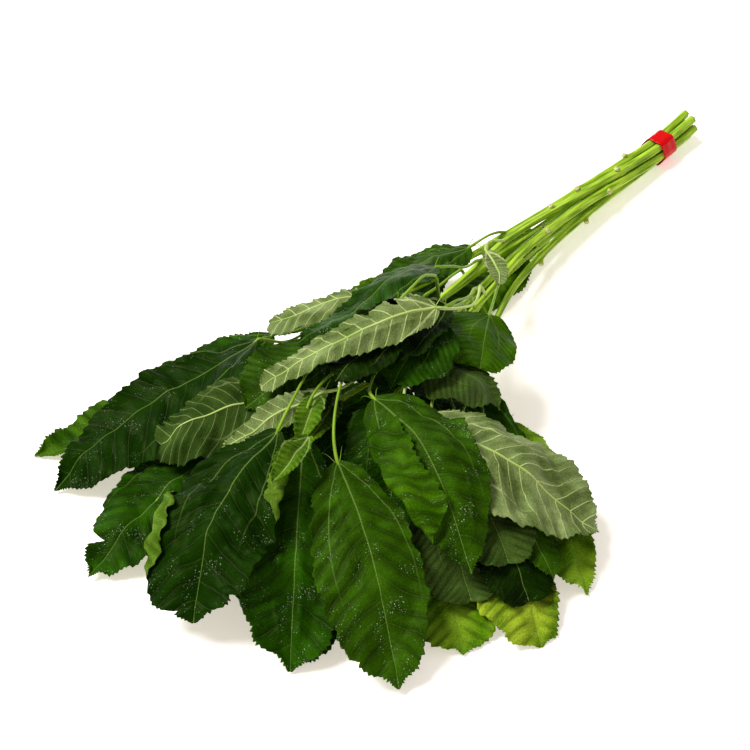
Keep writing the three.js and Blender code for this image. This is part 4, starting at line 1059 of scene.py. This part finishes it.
class JUTE_OT_stems(bpy.types.Operator):
    """Makes the cut stems with their scars, cut faces and the young leaves at their ends"""

    bl_idname = "jute.make_stems"
    bl_label = "Make Stems"

    def execute(self, context):
        settings = context.scene.jute_stem
        leaf_settings = context.scene.jute_leaf
        bark = stem_skin("stem_bark", settings.deep, settings.light)
        face = pith("stem_cut_face", settings.cut, linear("#a9b26a"))
        dry = pith("dried_scar", settings.dry, linear("#d6d29a"))
        young = leaf_skin("young_leaf", settings.young, settings.young_light,
                          leaf_settings.rib_under, rough=0.45, raised=0.6, clear=0.45,
                          side_veins=0.5, shade=0.9)
        for number, stem_ in enumerate(STEMS):
            rng = np.random.default_rng(number + 101)
            parts = [bark_tube(stem_, settings, rng)]
            parts += [scar(stem_, x, degrees) for x, degrees in stem_.scars]
            for rows, crumple, hidden in ((SHOOTS, 1.0, True), (CRINKLED, 2.5, False)):
                parts += [young_leaf(row, leaf_settings, rng, crumple, hidden)
                          for row in rows if row[0] == stem_.number]
            make_piece(f"{stem_.name}_bark", parts, [bark, face, dry, young], stem_.name)
        return {"FINISHED"}


def bark_tube(stem_, settings, rng):
    """A stem: a tube whose radius has shallow ridges, sum of cos(n angle), and swells like
    exp(-(distance / 3)^2) at each scar. Its cut end closes in rings of the same plane."""
    line = stem_line(stem_)
    share = np.linspace(0, 1, len(line))
    angle = np.linspace(0, 2 * np.pi, STEM_SIDES, endpoint=False)
    ridges = np.cos(5 * angle + rng.uniform(0, 6)) + 0.6 * np.cos(8 * angle + rng.uniform(0, 6))
    radii = stem_radius(share)[:, None] + settings.ridge / MM * (ridges - 1)
    for x, _ in stem_.scars:
        past = (line[:, :1] - x) / SCAR_SWELLING
        radii = radii + settings.swelling / MM * np.exp(-past ** 2)
    end = np.repeat(line[:1], len(CUT_RINGS), 0)
    end = end + (line[1] - line[0]) * 1e-3 * np.arange(len(CUT_RINGS))[:, None]
    radii = np.vstack([CUT_RINGS[:, None] * radii[0], radii])
    return tube(np.vstack([end, line]), radii, STEM_SIDES, 0, 1, len(CUT_RINGS), flat=True)


def scar(stem_, x, degrees):
    """Stub of a stripped stalk: a short cone that leans to the growing end, dried at its tip."""
    centre, _, share = on_stem(stem_line(stem_), x)
    angle = math.radians(degrees)
    direction = unit(np.array([-STUB_LEAN, math.cos(angle), math.sin(angle)]))
    length_ = stem_radius(share) + STUB_LENGTH
    steps = np.array([1.002, 1.0, 0.995, 0.9, 0.75, 0.5, 0.2, 0])
    shrink = np.array([0.3, 0.7, 0.95, 1.0, 0.98, 1.02, 1.05, 1.1])
    radii = (STUB_FOOT + (STUB_RADIUS - STUB_FOOT) * steps) * shrink * 0.93
    return tube(centre + direction * (length_ * steps)[:, None], radii, 12, 0, 2, 3)


def young_leaf(row, settings, rng, crumple, hidden):
    """A young leaf, folded up along its midrib, made as a grown one is."""
    _, base, tip, half = row
    form = leaf("young", base, tip, half, half, 1.5, None, "young",
                hidden=hidden, crumple=crumple)
    skin, _ = blade(form, shoot_heights(form), rng, settings, (3, 3))
    return skin


class JUTE_OT_tape(bpy.types.Operator):
    """Makes the red tape: one turn round the stems and a lapped end"""

    bl_idname = "jute.make_tape"
    bl_label = "Make Tape"

    def execute(self, context):
        settings = context.scene.jute_tape
        rng = np.random.default_rng(5)
        red = vinyl_tape("red_vinyl_tape", settings.colour)
        make_piece("red_tape", [tape_strip(settings, rng)], [red, red], "band")
        return {"FINISHED"}


def tape_strip(settings, rng):
    """A strip wound a turn and a bit: at each angle it stands a set distance off the stem
    that is nearest in angle, and it climbs over its own start by its thickness."""
    thick = settings.thickness / MM
    turn = np.radians(np.linspace(0, 360 + LAP_ANGLE, 361))
    angle = math.radians(90) + math.radians(LAP_ANGLE) - turn
    spots = np.array(bundle_spots())
    ring = np.array([ring_angle(k) for k in range(RING_COUNT)])
    away = np.abs((angle[:, None] - ring + np.pi) % (2 * np.pi) - np.pi)
    nearest = spots[1:][away.argmin(1)]
    climb = smooth(np.degrees(turn), 330, 362) * (thick + 0.12)
    off = STEM_RADIUS + TAPE_CLEARANCE - 0.75 * thick - 0.02 + climb
    y = nearest[:, 0] + off * np.cos(angle)
    z = nearest[:, 1] + off * np.sin(angle)
    wide = np.linspace(-1, 1, 13)
    pucker = 0.05 * ripples(turn[:, None] * 10, wide * 6, rng, 3, 9)
    x = np.broadcast_to(TAPE_X + TAPE_WIDTH / 2 * wide, (len(turn), len(wide)))
    outward = np.stack([np.cos(angle), np.sin(angle)], -1)[:, None]
    round_ = np.stack(np.broadcast_arrays(y[:, None], z[:, None]), -1)
    round_ = round_ + outward * pucker[..., None] * 0.5
    surface = np.concatenate(
        [x[..., None], np.broadcast_to(round_, (len(turn), len(wide), 2))], -1)
    flat = np.zeros_like(surface)
    return shell(surface, thick, flat, flat, (0, 0))


class JUTE_OT_stage(bpy.types.Operator):
    """Sets the floor, the soft lights and the camera at the photograph's angle"""

    bl_idname = "jute.make_stage"
    bl_label = "Make Stage"

    def execute(self, context):
        settings = context.scene.jute_stage
        target = Vector(ORIGIN * MM)
        bpy.ops.mesh.primitive_plane_add(size=6, location=(0, 0, 0))
        floor = context.object
        floor.name = "floor"
        material, surface, new = new_material("white_acrylic_floor")
        spot = new("TexCoord").outputs["Object"]
        fleck = new("TexNoise", {"Vector": spot, "Scale": 1 / 0.004})
        bump = new("Bump", {"Strength": 0.05, "Distance": 0.0001, "Height": fleck})
        wire(surface, {"Base Color": rgba(settings.floor), "Roughness": 0.9, "Normal": bump,
                       "Specular IOR Level": 0.1, "Emission Color": (1, 0.9, 0.8, 1),
                       "Emission Strength": settings.glow})
        floor.data.materials.append(material)

        world = bpy.data.worlds.new("plain_studio")
        world.use_nodes = True
        wire(world.node_tree.nodes["Background"], {0: (1, 0.97, 0.94, 1), 1: settings.sky})
        context.scene.world = world

        angle = math.radians(CAMERA_AZIMUTH)
        away = Vector((-math.sin(angle), math.cos(angle), 0))
        right = Vector((away.y, -away.x, 0))
        beyond, aside, above = KEY_FROM
        key_light(away * beyond + right * aside + Vector((0, 0, above)), settings.key)

        camera = bpy.data.objects.new("camera", bpy.data.cameras.new("camera"))
        context.scene.collection.objects.link(camera)
        camera.data.lens = CAMERA_LENS
        camera.data.sensor_width = SENSOR
        tilt = math.radians(CAMERA_ELEVATION)
        back = -away * math.cos(tilt) + Vector((0, 0, math.sin(tilt)))
        camera.location = target + back * CAMERA_DISTANCE
        camera.rotation_mode = "QUATERNION"
        camera.rotation_quaternion = (-back).to_track_quat("-Z", "Y")
        context.scene.camera = camera
        context.scene.view_settings.view_transform = "Standard"
        return {"FINISHED"}


def key_light(direction, strength):
    """A wide soft light that shines from the given direction."""
    light = bpy.data.lights.new("key_light", "SUN")
    light.angle = math.radians(KEY_ANGLE)
    light.energy = strength
    key = bpy.data.objects.new("key_light", light)
    key.rotation_mode = "QUATERNION"
    key.rotation_quaternion = (-direction).to_track_quat("-Z", "Y")
    bpy.context.scene.collection.objects.link(key)


class JUTE_PT_panel(bpy.types.Panel):
    """Lists the settings and the steps in the sidebar"""

    bl_idname = "JUTE_PT_panel"
    bl_label = "Bunch of Jute Leaves"
    bl_space_type = "VIEW_3D"
    bl_region_type = "UI"
    bl_category = "Jute"

    def draw(self, context):
        for step in STEPS:
            self.layout.operator(step.bl_idname)
        for name, group in GROUPS.items():
            box = self.layout.box()
            for key in group.__annotations__:
                box.prop(getattr(context.scene, name), key)


STEPS = (JUTE_OT_stems, JUTE_OT_leaves, JUTE_OT_tape, JUTE_OT_stage)
ORIGIN = origin()


def register():
    for kind in (*GROUPS.values(), *STEPS, JUTE_PT_panel):
        bpy.utils.register_class(kind)
    for name, group in GROUPS.items():
        setattr(bpy.types.Scene, name, bpy.props.PointerProperty(type=group))


def unregister():
    for name in GROUPS:
        delattr(bpy.types.Scene, name)
    for kind in reversed((*GROUPS.values(), *STEPS, JUTE_PT_panel)):
        bpy.utils.unregister_class(kind)


def main():
    register()
    bpy.ops.jute.make_stems()
    bpy.ops.jute.make_leaves()
    bpy.ops.jute.make_tape()
    bpy.ops.jute.make_stage()


if __name__ == "__main__":
    main()
